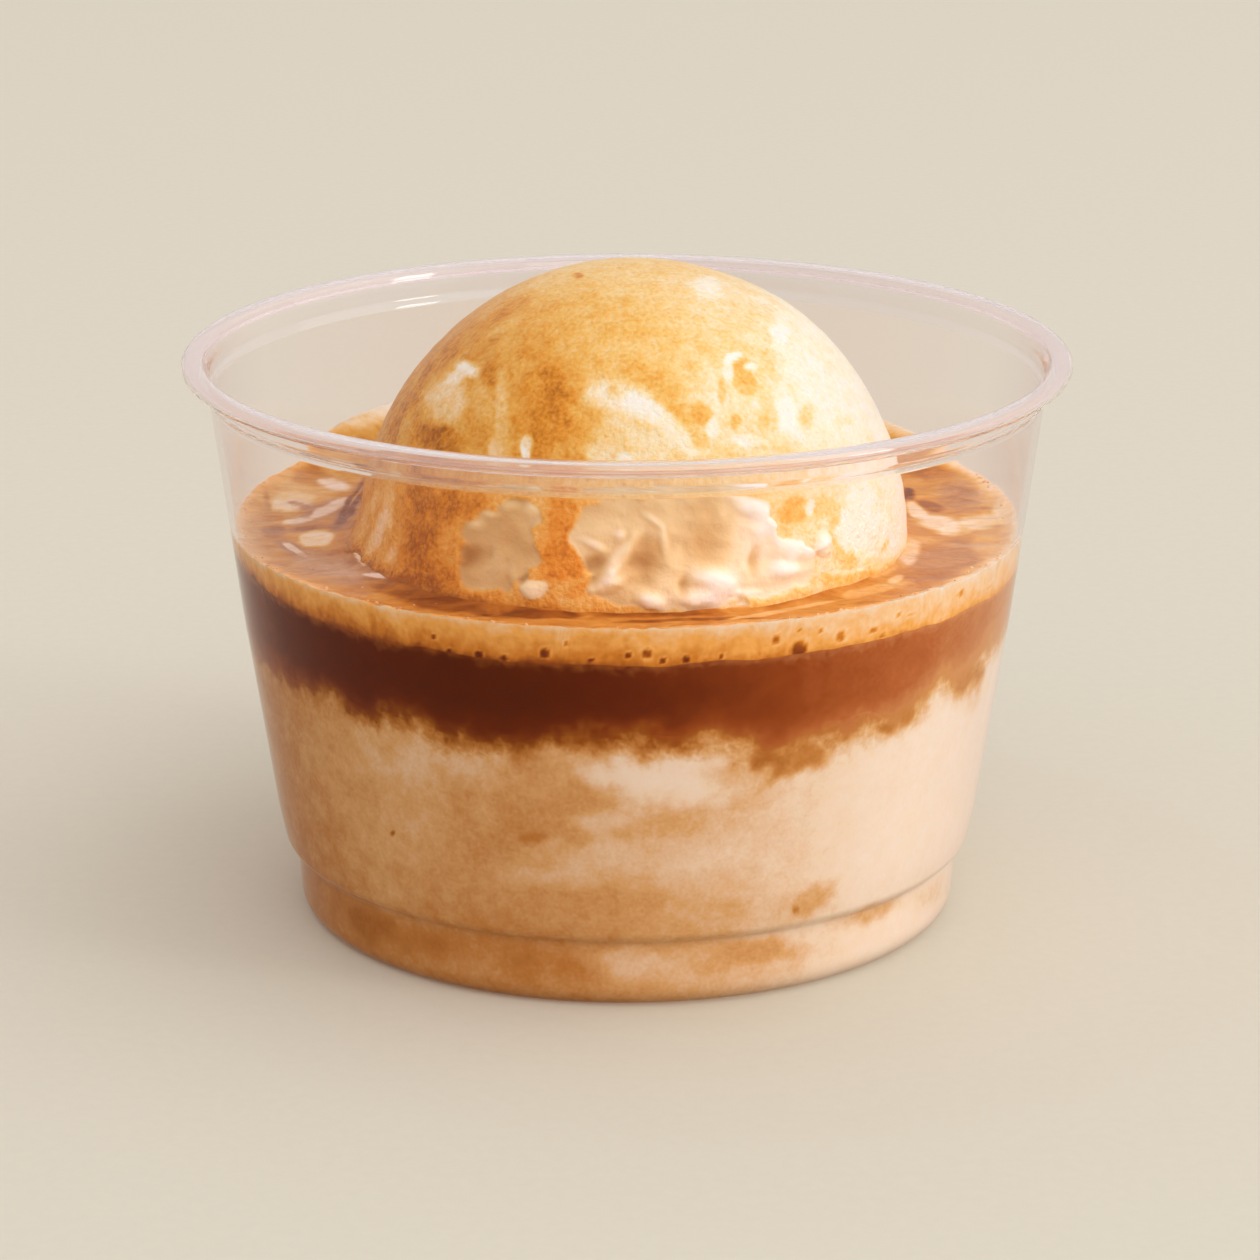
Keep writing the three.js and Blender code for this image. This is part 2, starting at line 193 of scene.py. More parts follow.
# Marks of the tones of the drink's surface, from 0 for dark brown to 1 for cream.
CREMA = [
    # back left pool
    (300, 480, 60, 22, 4, 0.4, 0.64), (268, 485, 10, 16, 30, 0.3, 0.54), (308, 474, 18, 10, 0, 0.3, 0.4),
    (335, 482, 18, 5, -10, 0.25, 0.95), (290, 500, 24, 10, 0, 0.25, 0.84),
    (268, 503, 3, 14, 10, 0.25, 0.42), (276, 516, 10, 3, -20, 0.25, 0.46),
    (304, 505, 14, 2, -15, 0.25, 0.52), (330, 508, 26, 5, 24, 0.25, 0.86), (300, 519, 16, 3, 5, 0.2, 0.86),
    # brown blob and line under the pool, and the fold beside the scoop, painted dark as the scoop's
    # reflection with a painted highlight along it
    (272, 529, 14, 7, 0, 0.25, 0.32), (310, 528, 26, 2.5, 3, 0.25, 0.3), (350, 503, 28, 6, 59, 0.3, 0.22),
    (357, 492, 20, 1.5, 59, 0.25, 0.6), (318, 538, 17, 7, 0, 0.2, 0.9), (297, 548, 14, 2.5, -30, 0.2, 0.88),
    # rosy zone with glossy arcs, which are painted highlights
    (330, 567, 38, 12, -14, 0.4, 0.6), (352, 542, 16, 18, 0, 0.4, 0.4), (360, 560, 13, 1.5, -50, 0.2, 0.86),
    (380, 577, 15, 1.8, -10, 0.2, 0.92), (392, 570, 12, 1.8, 35, 0.2, 0.9),
    # brown front left
    (410, 592, 34, 8, -14, 0.3, 0.3), (450, 603, 50, 7, -6, 0.3, 0.22), (510, 612, 40, 5, -4, 0.3, 0.3),
    (480, 595, 30, 5, 0, 0.3, 0.4), (540, 616, 40, 3, -2, 0.3, 0.2), (570, 605, 24, 7, 0, 0.3, 0.48),
    # front middle
    (620, 607, 40, 6, 0, 0.4, 0.42), (650, 616, 60, 3, 0, 0.3, 0.28), (650, 622, 50, 2, 0, 0.3, 0.5),
    (706, 610, 56, 2.5, 2, 0.25, 0.86), (690, 620, 70, 1.5, 2, 0.25, 0.28),
    # golden right front
    (770, 601, 32, 7, 8, 0.3, 0.36), (790, 609, 60, 1.5, 10, 0.25, 0.7), (800, 594, 26, 4, 8, 0.3, 0.44),
    (845, 583, 36, 8, 12, 0.3, 0.44), (850, 573, 26, 3, 6, 0.25, 0.3), (853, 594, 16, 3, 10, 0.25, 0.62),
    (880, 588, 36, 4, 14, 0.3, 0.66),
    # tan zone on the right
    (920, 539, 20, 5, 0, 0.3, 0.6), (905, 548, 10, 6, 0, 0.3, 0.48), (942, 555, 26, 10, 8, 0.4, 0.5),
    (925, 573, 22, 7, 8, 0.4, 0.46), (984, 543, 14, 12, 10, 0.4, 0.62),
    # right pool
    (950, 486, 48, 20, -6, 0.3, 0.52), (936, 472, 24, 7, 0, 0.3, 0.38), (915, 484, 9, 6, 0, 0.3, 0.54),
    (909, 493, 6, 7, 0, 0.2, 0.14), (927, 502, 15, 4.5, -12, 0.25, 0.28), (962, 494, 18, 8, 0, 0.4, 0.5),
    (990, 488, 14, 12, -30, 0.4, 0.68),
    # cream swirl
    (916, 508, 12, 7, -45, 0.25, 0.92), (942, 523, 26, 9, -8, 0.3, 0.95), (978, 521, 22, 8, 6, 0.3, 0.86),
    (1004, 512, 9, 12, 20, 0.3, 0.82),
    # froth at the scoop's right foot
    (908, 553, 13, 9, 50, 0.4, 0.82), (884, 570, 17, 5, 24, 0.3, 0.66), (893, 579, 9, 4, 20, 0.3, 0.78),
    (846, 580, 20, 4, 14, 0.3, 0.7), (812, 594, 34, 4, 10, 0.3, 0.42),
]
# Marks where the surface looks rosy instead of golden.
ROSY = [
    (303, 505, 18, 5, -10, 0.4, 0.8), (322, 510, 34, 8, 20, 0.4, 0.9), (350, 503, 30, 9, 59, 0.4, 0.9),
    (296, 549, 20, 6, -30, 0.4, 0.9), (335, 566, 46, 14, -14, 0.5, 0.8), (384, 574, 24, 8, 0, 0.5, 0.9),
    (335, 482, 20, 8, -10, 0.4, 0.5), (962, 494, 24, 10, 0, 0.5, 0.7), (940, 560, 44, 18, 10, 0.5, 0.6),
]

# Ice cream: the scoop's ball, and how its columns and rows crowd to where it shows.
SCOOP = Vector((0.8, -8, 44.8))
SCOOP_RADIUS = 29.9
SCOOP_COLUMNS, SCOOP_ROWS = 104, 54
FRONT_CROWDING = 0.55
ROW_SHARES = [-90, -75, 22, 90]
ROW_ELEVATIONS = [-90, -9, 36, 90]

# Marks where the ice cream is torn open, and the share of the full depth that each is sunk.
TORN_DEPTH = 0.4
TORN = [
    (498, 545, 40, 40, 0, 0.1, 0.8), (516, 516, 24, 17, 0, 0.1, 0.8), (484, 574, 26, 18, 0, 0.1, 0.9),
    (505, 572, 14, 18, 0, 0.1, 0.8), (533, 588, 15, 10, 0, 0.1, 0.3), (624, 532, 52, 40, 0, 0.1, 0.7),
    (602, 560, 22, 18, 0, 0.1, 0.7), (610, 586, 24, 14, 0, 0.1, 0.6), (672, 532, 60, 44, 0, 0.1, 1),
    (642, 592, 40, 15, 0, 0.1, 0.6), (694, 588, 60, 24, 0, 0.1, 0.8), (748, 530, 28, 48, 34, 0.1, 0.8),
    (784, 560, 38, 24, -8, 0.1, 0.7), (766, 586, 30, 11, 8, 0.1, 0.5), (822, 543, 9, 12, 0, 0.1, 0.3),
    (650, 566, 52, 26, 0, 0.1, 0.8), (730, 560, 34, 30, 0, 0.1, 0.8), (500, 560, 36, 26, 0, 0.1, 0.8),
]
# Marks of folds, lumps and hollows in the torn stretches, and their height. Their relief also paints a
# highlight, lighter on the lumps, and shade, darker in the hollows.
RIDGES = [
    # left patch
    (533, 587, 14, 9, 0, 0.6, 0.5), (521, 580, 10, 3, 40, 0.6, -0.5), (492, 514, 7, 5, 0, 0.6, 0.35),
    (509, 504, 9, 6, 0, 0.6, 0.35), (531, 507, 9, 9, 0, 0.6, 0.35), (475, 523, 8, 6, 0, 0.6, 0.35),
    (538, 532, 6, 10, 0, 0.6, 0.3), (474, 556, 14, 10, 20, 0.7, -0.4), (512, 550, 20, 22, 0, 0.8, -0.3),
    # middle: small folds, the long ridge and the two white lumps at its foot
    (592, 544, 12, 4, -25, 0.6, 0.4), (590, 565, 13, 7, 15, 0.6, -0.5), (612, 512, 34, 14, 0, 0.8, -0.2),
    (621, 534, 6, 6, 0, 0.6, 0.5), (621, 557, 30, 7, 54, 0.6, 0.6), (610, 582, 14, 8, 20, 0.6, 0.9),
    (592, 590, 10, 6, 0, 0.6, 0.5), (654, 521, 11, 4, -35, 0.6, 0.4), (664, 541, 4, 16, 8, 0.6, 0.35),
    (645, 566, 17, 22, 0, 0.7, -0.7), (648, 598, 13, 8, -20, 0.6, 0.8), (683, 586, 5, 10, -10, 0.6, -0.5),
    (697, 508, 22, 9, 0, 0.7, -0.25), (708, 543, 28, 20, 0, 0.8, -0.4), (716, 580, 24, 13, -18, 0.6, 1),
    (704, 598, 26, 9, 0, 0.6, 0.8), (750, 593, 10, 4, 0, 0.6, 0.5), (754, 562, 6, 13, 0, 0.5, -0.7),
    # white lumps on the right
    (745, 503, 22, 8, -35, 0.6, 0.6), (768, 524, 18, 12, -40, 0.6, 0.8), (800, 548, 20, 12, 0, 0.6, 0.7),
    (822, 543, 8, 11, 0, 0.6, 0.6), (786, 570, 18, 9, 10, 0.6, 0.8),
]
# Melted foot of the scoop: azimuth and reach of its two sides, and how fast it falls away.
MELTED_SIDES = [(-78, 1.8), (88, -0.5)]
MELTED_EVERYWHERE = 0.6
MELT_FALL, MELT_SPREAD = 1.4, 30
# Dimples of the ball, as waves, and how much coffee has washed over the torn stretches, by azimuth, with
# painted shade that darkens them more on the left.
DIMPLES = [(0.16, 13, 0.4), (0.05, 1.8, 2.9)]
TORN_WASH_AND_SHADE = [(-40, 0.64), (-12, 0.5), (8, 0.46), (26, 0.2)]

# How deeply the coffee has soaked in, by azimuth, together with painted shade that makes the scoop's left
# darker and redder.
SOAKED_AND_SHADED_ROUND = [(-180, 0.4), (-90, 1), (-50, 0.85), (-20, 0.45), (5, 0.1), (20, 0), (100, 0), (180, 0.4)]
# How thick the coffee glaze lies on the scoop, from 0 for bare to 1 for dark brown: by azimuth,
# on the crown, at the foot, and marks of its patches.
# By azimuth the glaze also holds painted light and shade: darker on the left, away from the light, and
# paler on the right, where it falls.
GLAZE_AND_SHADE_ROUND = [(-180, 0.5), (-100, 0.8), (-62, 0.74), (-30, 0.66), (0, 0.54), (30, 0.42),
               (52, 0.2), (80, 0.08), (120, 0.16), (180, 0.5)]
CROWN_GLAZE, CROWN_SOAKED_AND_SHADED = 0.5, 0.25
# Glaze that gathers at the foot of the scoop, by azimuth, and how far up it reaches; it is darker on the
# left, as painted shade where the scoop meets the drink.
FOOT_GLAZE_AND_SHADE = [(-50, 1.05), (30, 0.6)]
FOOT_GLAZE_HEIGHT = 1.1
GLAZE = [
    # crown and left shoulder
    (650, 292, 80, 26, 0, 0.9, 0.46), (715, 300, 44, 22, -22, 0.8, 0.34), (600, 330, 60, 34, 20, 0.9, 0.56),
    (535, 322, 54, 22, 42, 0.8, 0.64), (560, 360, 40, 24, 10, 0.8, 0.68), (620, 350, 50, 16, 0, 0.8, 0.52),
    (425, 382, 8, 52, -33, 0.5, 0.86), (440, 374, 5, 46, -38, 0.5, 0.6), (452, 354, 5, 34, -50, 0.5, 0.82),
    (497, 316, 5, 34, -58, 0.5, 0.78), (505, 328, 5, 26, -60, 0.5, 0.56), (480, 350, 6, 28, -50, 0.5, 0.74),
    (579, 275, 4, 3, 0, 0.5, 0.85),
    # left flank above the rim
    (446, 402, 22, 26, 0, 0.6, 0.4), (440, 388, 16, 8, 30, 0.5, 0.34), (465, 368, 13, 7, -20, 0.5, 0),
    (456, 376, 9, 6, 30, 0.6, 0.15), (431, 436, 17, 14, 0, 0.6, 0.94), (452, 440, 14, 10, 0, 0.6, 0.84),
    (404, 430, 7, 24, -14, 0.5, 0.66), (396, 420, 4, 24, -18, 0.4, 0.86), (472, 424, 10, 30, 0, 0.6, 0.7),
    (484, 400, 8, 22, 0, 0.6, 0.56), (496, 374, 14, 10, 10, 0.6, 0.86), (503, 415, 7, 42, 3, 0.6, 0.34),
    (497, 452, 9, 12, 0, 0.5, 0.3), (545, 418, 38, 42, 0, 0.8, 0.78), (556, 395, 13, 30, 0, 0.6, 0.88),
    (532, 440, 16, 16, 0, 0.6, 0.82), (530, 345, 22, 12, 30, 0.6, 0.72), (524, 452, 4, 10, 8, 0.4, 0.04),
    (527, 441, 5, 6, 0, 0.5, 0.3),
    # melted patch in the middle, with painted shade in tan below its white crest
    (598, 392, 13, 9, 0, 0.9, 0.16), (612, 404, 20, 8, -10, 0.9, 0.22), (618, 418, 14, 11, -20, 0.6, 0.36),
    (641, 404, 32, 13, -34, 0.9, 0.03), (652, 410, 18, 8, -36, 0.8, 0), (670, 428, 22, 13, -36, 0.9, 0.1),
    (688, 446, 20, 10, -32, 0.6, 0.16), (640, 440, 34, 17, -24, 0.8, 0.32), (612, 438, 14, 12, 0, 0.7, 0.4),
    (600, 452, 14, 9, 0, 0.6, 0.3), (625, 458, 8, 6, 0, 0.5, 0.1), (655, 455, 14, 8, 0, 0.5, 0.3),
    # golden band and the lace of spots beside it
    (660, 380, 40, 14, -30, 0.7, 0.58), (676, 402, 44, 10, -48, 0.5, 0.66), (700, 436, 9, 12, 0, 0.5, 0.7),
    (738, 398, 42, 46, 0, 0.7, 0.3), (743, 374, 10, 15, 0, 0.3, 0.62), (750, 388, 10, 6, 0, 0.3, 0.5),
    (735, 421, 7, 8, 0, 0.3, 0.56), (702, 412, 10, 11, 0, 0.3, 0.64), (722, 392, 4, 14, 0, 0.3, 0.52),
    (765, 422, 7, 8, 0, 0.3, 0.5), (720, 347, 30, 6, 0, 0.5, 0.44), (733, 357, 9, 4, 30, 0.3, 0.02),
    (751, 367, 6, 4, 0, 0.3, 0.04), (728, 372, 5, 8, 0, 0.3, 0.1), (760, 404, 8, 5, 0, 0.3, 0.1),
    (712, 428, 6, 8, 0, 0.3, 0.12), (748, 440, 16, 6, 0, 0.3, 0.12), (768, 372, 7, 48, -5, 0.6, 0.4),
    (778, 398, 9, 20, 0, 0.5, 0.42),
    # white stretch on the right
    (781, 334, 9, 10, 0, 0.5, 0), (790, 412, 12, 27, 16, 0.5, 0), (817, 376, 26, 22, 0, 0.7, 0.05),
    (846, 400, 22, 34, 20, 0.7, 0.1), (806, 414, 8, 11, 0, 0.5, 0.42), (846, 421, 8, 6, 0, 0.5, 0.28),
    (827, 350, 9, 26, 40, 0.6, 0.14), (709, 286, 16, 9, -20, 0.7, 0.06), (750, 300, 26, 8, -30, 0.7, 0.3),
    (865, 440, 12, 14, 0, 0.6, 0.16),
    # flank on the left below the rim
    (418, 530, 16, 60, 3, 0.6, 0.95), (388, 502, 6, 44, -5, 0.5, 0.52), (378, 530, 6, 26, -12, 0.5, 0.3),
    (399, 512, 4, 40, 0, 0.5, 0.7), (368, 520, 5, 30, -15, 0.5, 0.55), (393, 555, 6, 14, -20, 0.5, 0.4),
    (446, 508, 28, 14, 20, 0.6, 0.88), (430, 575, 24, 12, 0, 0.6, 0.9),
    # drip and the glaze round the patches
    (560, 520, 14, 38, 0, 0.3, 0.8), (563, 562, 18, 20, -12, 0.3, 0.84), (578, 592, 18, 8, 10, 0.4, 0.72),
    (640, 487, 100, 8, 0, 0.6, 0.5), (596, 538, 12, 10, 0, 0.5, 0.62), (648, 502, 6, 6, 0, 0.4, 0.72),
    (752, 562, 5, 11, 0, 0.4, 0.66), (683, 585, 6, 8, 30, 0.4, 0.6),
    # golden patch on the right with the white flow beside it
    (794, 511, 15, 13, 0, 0.2, 0.6), (826, 506, 16, 10, 0, 0.3, 0.46), (811, 508, 3, 8, -10, 0.2, 0.1),
    (840, 532, 10, 26, 6, 0.25, 0.46), (846, 560, 12, 12, 0, 0.25, 0.46), (863, 518, 19, 34, 0, 0.15, 0.02),
    (896, 536, 12, 16, 0, 0.3, 0.05), (872, 562, 10, 7, 0, 0.3, 0.34), (884, 546, 2.5, 9, -25, 0.3, 0.45),
    (866, 576, 34, 6, 5, 0.5, 0.6),
]

# Foam bubbles: large ones painted where the photo shows them at the wall, with their radius in
# millimetres, and how many small ones are modelled.
WALL_BUBBLES = [
    (647, 652.5, 0.55), (662, 659.5, 0.35), (685, 658, 0.42), (627.5, 654.5, 0.35), (591, 659, 0.25),
    (567, 642, 0.3), (546, 652, 0.55), (775, 638, 0.5), (797, 647.5, 0.95), (838.6, 635, 0.62),
    (870.5, 628.6, 0.4), (877.5, 634.4, 0.3), (797, 629, 0.25), (819, 629, 0.3), (895.6, 614, 0.35),
    (908, 613, 0.3), (956.7, 592, 0.5), (451, 651, 0.4), (480, 653, 0.45), (505, 657, 0.4), (437, 636, 0.3),
    (985, 585, 0.35), (720, 655, 0.3), (345, 632, 0.35),
]
BUBBLE_INSET, BUBBLE_STEP = 0.1, 0.1
RING_BUBBLES = 260
SURFACE_BUBBLES = 24
SMALLEST_BUBBLE = 0.12
BUBBLE_SEED = 11


def degrees_of(x, y):
    """Azimuth of places, in degrees."""
    return np.degrees(np.arctan2(x, -y))


def turn_between(start, end):
    """Shortest way round from one azimuth to another."""
    return (end - start + 180) % 360 - 180


def round_table(azimuth, table):
    """Value of an (azimuth, value) table at each azimuth."""
    return np.interp(azimuth, *zip(*table))


def crowded(azimuth):
    """Azimuths drawn towards the front, where the finest detail shows."""
    return azimuth - math.degrees(FRONT_CROWDING) * np.sin(np.radians(azimuth))


def bell(distance, width):
    return np.exp(-((distance / width) ** 2))


def smooth(value, low, high):
    share = np.clip((value - low) / (high - low), 0, 1)
    return share * share * (3 - 2 * share)


def uneven(points, size, seed=0.0):
    """Smooth unevenness of about one unit either way at each point, for bumps of that size."""
    return 1.6 * np.array([noise.noise(place) for place in (points / size + seed).tolist()])


def waves(points, rows):
    """Unevenness of several heights and sizes, each from its own stretch of the noise."""
    return sum(height * uneven(points, size, seed) for height, size, seed in rows)


def ridged(points, size, seed=0.0):
    """Unevenness with sharp crests, from about -1 to 1."""
    return 1 - 2.2 * np.abs(uneven(points, size, seed))


def sight_line(x, y):
    """Direction from the camera through a pixel of the photo."""
    focal = PHOTO_WIDTH * CAMERA_LENS / SENSOR_WIDTH
    right = (x + FRAME_SHIFT - PHOTO_WIDTH / 2) / focal
    up = (PHOTO_WIDTH / 2 - y) / focal
    ahead, drop = math.cos(CAMERA_PITCH), math.sin(CAMERA_PITCH)
    line = np.array((right, ahead + up * drop, up * ahead - drop))
    return line / np.linalg.norm(line)


def on_wall(x, y, inset=0):
    """Azimuth and height where a pixel shows the cup's front wall, or a place inset from its inside."""
    steps = np.linspace(*WALL_REACH)[:, None]
    places = np.array(CAMERA_PLACE) + sight_line(x, y) * steps
    wall = np.interp(places[:, 2], WALL_HEIGHTS, WALL_RADII) - inset
    first = places[np.argmax(np.hypot(places[:, 0], places[:, 1]) <= wall)]
    return np.array((degrees_of(first[0], first[1]), first[2]))


def on_drink(x, y):
    """X and Y where a pixel shows the drink's surface."""
    line = sight_line(x, y)
    return (np.array(CAMERA_PLACE) + line * (MARKED_SURFACE - CAMERA_PLACE.z) / line[2])[:2]


def on_scoop(x, y):
    """Azimuth and elevation where a pixel shows the scoop's ball, or the nearest of its edge."""
    line = sight_line(x, y)
    from_ball = np.array(CAMERA_PLACE - SCOOP)
    along = from_ball @ line
    depth = math.sqrt(max(along ** 2 - from_ball @ from_ball + SCOOP_RADIUS ** 2, 0))
    place = from_ball - line * (along + depth)
    place = place / np.linalg.norm(place)
    return np.array((degrees_of(place[0], place[1]), math.degrees(math.asin(place[2]))))


def ball_offsets(direction, azimuth, elevation):
    """Degrees on the ball to the right of a place and above it, for each direction."""
    turn, lift = math.radians(azimuth), math.radians(elevation)
    right = np.array((math.cos(turn), math.sin(turn), 0))
    middle = upright(math.cos(lift), azimuth, math.sin(lift))
    beyond = 90 * (direction @ middle < 0)
    return np.degrees(direction @ right) + beyond, np.degrees(direction @ np.cross(middle, right))


def scoop_offset(place, middle):
    """How far one place on the scoop's ball is to the right of another and above it."""
    lift = math.radians(place[1])
    return np.array(ball_offsets(upright(math.cos(lift), place[0], math.sin(lift)), *middle))


def rounded(value, step):
    return round(value / step) * step


def strokes(marks, place_of, step=DRINK_STEP, offset_of=np.subtract, reach=SLANT_REACH):
    """Marks on the photo as strokes on the surface where place_of finds them."""
    made = []
    for x, y, wide, high, turn, soft, amount in marks:
        middle = place_of(x, y)
        axes = []
        for size, angle in ((wide, math.radians(turn)), (high, math.radians(turn + 90))):
            right, down = reach * math.cos(angle), -reach * math.sin(angle)
            ahead = offset_of(place_of(x + right, y + down), middle)
            behind = offset_of(place_of(x - right, y - down), middle)
            axes.append(size * (ahead - behind) / (2 * reach))
        # The surface's slant skews the mark's axes, so its outline's own two axes are found.
        spread, sizes, _ = np.linalg.svd(np.stack(axes, 1))
        turned_by = math.degrees(math.atan2(spread[1, 0], spread[0, 0]))
        if sizes[0] - sizes[1] < NEARLY_ROUND * sizes[0]:
            turned_by = 0
        wide, high = (rounded(max(size, step), step) for size in sizes)
        across, up = (rounded(value, PLACE_STEP) for value in middle)
        made.append(Stroke(across, up, wide, high, round((turned_by + 90) % 180 - 90), soft, amount))
    return made


def inside_stroke(stroke, offsets, ragged):
    """How far each place is inside a stroke's edge: 0 at the edge and 1 in its middle.

    Offsets gives how far places are to the right of the stroke's middle and above it.
    """
    angle = math.radians(stroke.turn)
    right, rise = offsets(stroke)
    along = right * math.cos(angle) + rise * math.sin(angle)
    aside = rise * math.cos(angle) - right * math.sin(angle)
    return 1 - np.hypot(along / stroke.wide, aside / stroke.high) + ragged


def painted(value, laid, offsets, ragged):
    """Strokes laid over a value one after another."""
    for stroke in laid:
        inside = inside_stroke(stroke, offsets, ragged)
        value = value + (stroke.amount - value) * smooth(inside, -stroke.soft, stroke.soft)
    return value


def finished(name, bm, material, node=None):
    """A mesh piece that rides on the part's one body, and may stand for a CAD node."""
    mesh = bpy.data.meshes.new(name)
    bm.to_mesh(mesh)
    bm.free()
    mesh.materials.append(material)
    mesh.shade_smooth()
    mesh.set_sharp_from_angle(angle=SHARP_ANGLE)
    piece = bpy.data.objects.new(name, mesh)
    bpy.context.scene.collection.objects.link(piece)
    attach(piece, "root")
    if node:
        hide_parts(node)
    return piece


def places_of(piece):
    """Vertices of a piece in millimetres."""
    flat = np.empty(3 * len(piece.data.vertices))
    piece.data.vertices.foreach_get("co", flat)
    return flat.reshape(-1, 3) / MM


def move_to(piece, places):
    piece.data.vertices.foreach_set("co", (places * MM).ravel())
    piece.data.update()


def set_attribute(piece, name, values):
    layer = piece.data.attributes.new(name, "FLOAT", "POINT")
    layer.data.foreach_set("value", np.asarray(values, dtype=np.float32))


# Materials ---------------------------------------------------------------------------------

def linear(colour):
    """A colour of six sRGB hex digits as linear red, green, blue and full alpha."""
    parts = [int(colour[i:i + 2], 16) / 255 for i in (0, 2, 4)]
    return (*[c / 12.92 if c <= 0.04045 else ((c + 0.055) / 1.055) ** 2.4 for c in parts], 1)


def new_tree(name):
    """An empty material of that name and its node tree."""
    material = bpy.data.materials.new(name)
    material.use_nodes = True
    material.node_tree.nodes.clear()
    return material, material.node_tree


def add_node(tree, kind, inputs, stops=(), **settings):
    """Adds a shader node and returns its outputs.

    An input that is given as a socket is linked, and any other is set. Stops are the places and
    colours of a ramp.
    """
    node = tree.nodes.new("ShaderNode" + kind)
    for name, value in settings.items():
        setattr(node, name, value)
    for key, value in inputs.items():
        if isinstance(value, bpy.types.NodeSocket):
            tree.links.new(value, node.inputs[key])
        else:
            node.inputs[key].default_value = value
    for place, colour in stops[2:]:
        node.color_ramp.elements.new(place)
    for i, (place, colour) in enumerate(stops):
        node.color_ramp.elements[i].position = place
        node.color_ramp.elements[i].color = linear(colour)
    return node.outputs


def clear_pet(part, ior, clearness, wave, face_on):
    """Thermoformed PET: clear and glossy, with the faint waves that forming leaves in it."""
    material, tree = new_tree("thermoformed_clear_PET_" + part)
    place = add_node(tree, "TexCoord", {})["Object"]
    waves = add_node(tree, "TexNoise", {"Vector": place, "Scale": 1 / (9 * MM), "Detail": 1})["Fac"]
    normal = add_node(tree, "Bump", {"Height": waves, "Distance": wave * MM})[0]
    # Light runs further through the sheet where it is seen edge on, so it looks lilac there.
    edge_on = add_node(tree, "LayerWeight", {"Blend": 0.5})["Facing"]
    tint = add_node(tree, "ValToRGB", {0: edge_on}, stops=[
        (0.0, face_on), (0.5, "FFFCFC"), (0.85, "EFE6EA"), (1.0, "CCBECA")])[0]
    plastic = add_node(tree, "BsdfPrincipled", {
        "Base Color": tint, "Roughness": 0.03, "IOR": ior, "Transmission Weight": clearness,
        "Normal": normal})[0]
    # Light goes straight through to the food, as it does through a wall this thin.
    open_to_light = add_node(tree, "BsdfTransparent", {"Color": linear("FFF7F5")})[0]
    path = add_node(tree, "LightPath", {})
    # Light that is caught inside the sheet gets out again, as it does through a real one.
    caught = add_node(tree, "Math", {0: path["Ray Depth"], 1: 3.5}, operation="GREATER_THAN")[0]
    plastic = add_node(tree, "MixShader", {0: caught, 1: plastic, 2: open_to_light})[0]
    both = add_node(tree, "MixShader", {0: path["Is Shadow Ray"], 1: plastic, 2: open_to_light})[0]
    add_node(tree, "OutputMaterial", {"Surface": both})
    return material


def vanilla_ice_cream():
    """Scooped vanilla ice cream under coffee glaze: granular, wet where glazed, creamy where torn, with
    painted shade on its left.
    """
    material, tree = new_tree("scooped_vanilla_ice_cream_with_coffee_glaze")
    place = add_node(tree, "TexCoord", {})["Object"]
    glaze, torn, soaked_and_shaded = [add_node(tree, "Attribute", {}, attribute_name=name)["Fac"]
                           for name in ("glaze", "torn", "soaked_and_shaded")]
    # Ice crystals of 0.5 mm and mottles of 2 mm, where the coffee has sunk in unevenly.
    crystals = add_node(tree, "TexNoise", {"Vector": place, "Scale": 1 / (0.5 * MM), "Detail": 3},
                        normalize=False)["Fac"]
    mottle = add_node(tree, "TexNoise", {"Vector": place, "Scale": 1 / (2 * MM), "Detail": 4},
                      normalize=False)["Fac"]
    bare = add_node(tree, "ValToRGB", {0: glaze}, stops=[
        (0.0, "FFFBF2"), (0.2, "F9EDD2"), (0.4, "EDD8A8"), (0.6, "DCBC84"), (0.8, "C6965A"),
        (1.0, "98602C")])[0]
    for pattern, share in ((mottle, 0.12), (crystals, 0.1)):
        glaze = add_node(tree, "Math", {0: pattern, 1: share, 2: glaze}, operation="MULTIPLY_ADD")[0]
    fresh = add_node(tree, "ValToRGB", {0: glaze}, stops=[
        (0.0, "FFF7EC"), (0.2, "FFEECF"), (0.42, "FCD996"), (0.6, "F6C468"), (0.8, "EFA034"),
        (1.0, "C07012")])[0]
    # This darker, redder copy of the glaze's colours is coffee sunk in and painted shade on the scoop's
    # left.
    deep = add_node(tree, "ValToRGB", {0: glaze}, stops=[
        (0.0, "FCEFE4"), (0.2, "F4D8B4"), (0.42, "ECC080"), (0.6, "E4A84C"), (0.8, "D68C26"),
        (1.0, "A65C0A")])[0]
    coated = add_node(tree, "Mix", {0: soaked_and_shaded, 6: fresh, 7: deep}, data_type="RGBA")[2]
    colour = add_node(tree, "Mix", {0: torn, 6: coated, 7: bare}, data_type="RGBA")[2]
    roughness = add_node(tree, "MapRange", {"Value": torn, "To Min": 0.34, "To Max": 0.5})[0]
    height = add_node(tree, "Math", {0: mottle, 1: 1.5, 2: crystals}, operation="MULTIPLY_ADD")[0]
    rough_grain = add_node(tree, "MapRange", {"Value": torn, "To Min": 1.0, "To Max": 0.35})[0]
    normal = add_node(tree, "Bump", {"Strength": rough_grain, "Height": height,
                      "Distance": 0.06 * MM})[0]
    shader = add_node(tree, "BsdfPrincipled", {
        "Base Color": colour, "Roughness": roughness, "IOR": 1.36,
        "Specular IOR Level": 0.25, "Subsurface Weight": 0.4,
        "Subsurface Radius": (2.6, 1.5, 0.8), "Subsurface Scale": MM, "Coat Weight": 0.12,
        "Coat Roughness": 0.12, "Normal": normal})[0]
    add_node(tree, "OutputMaterial", {"Surface": shader})
    return material


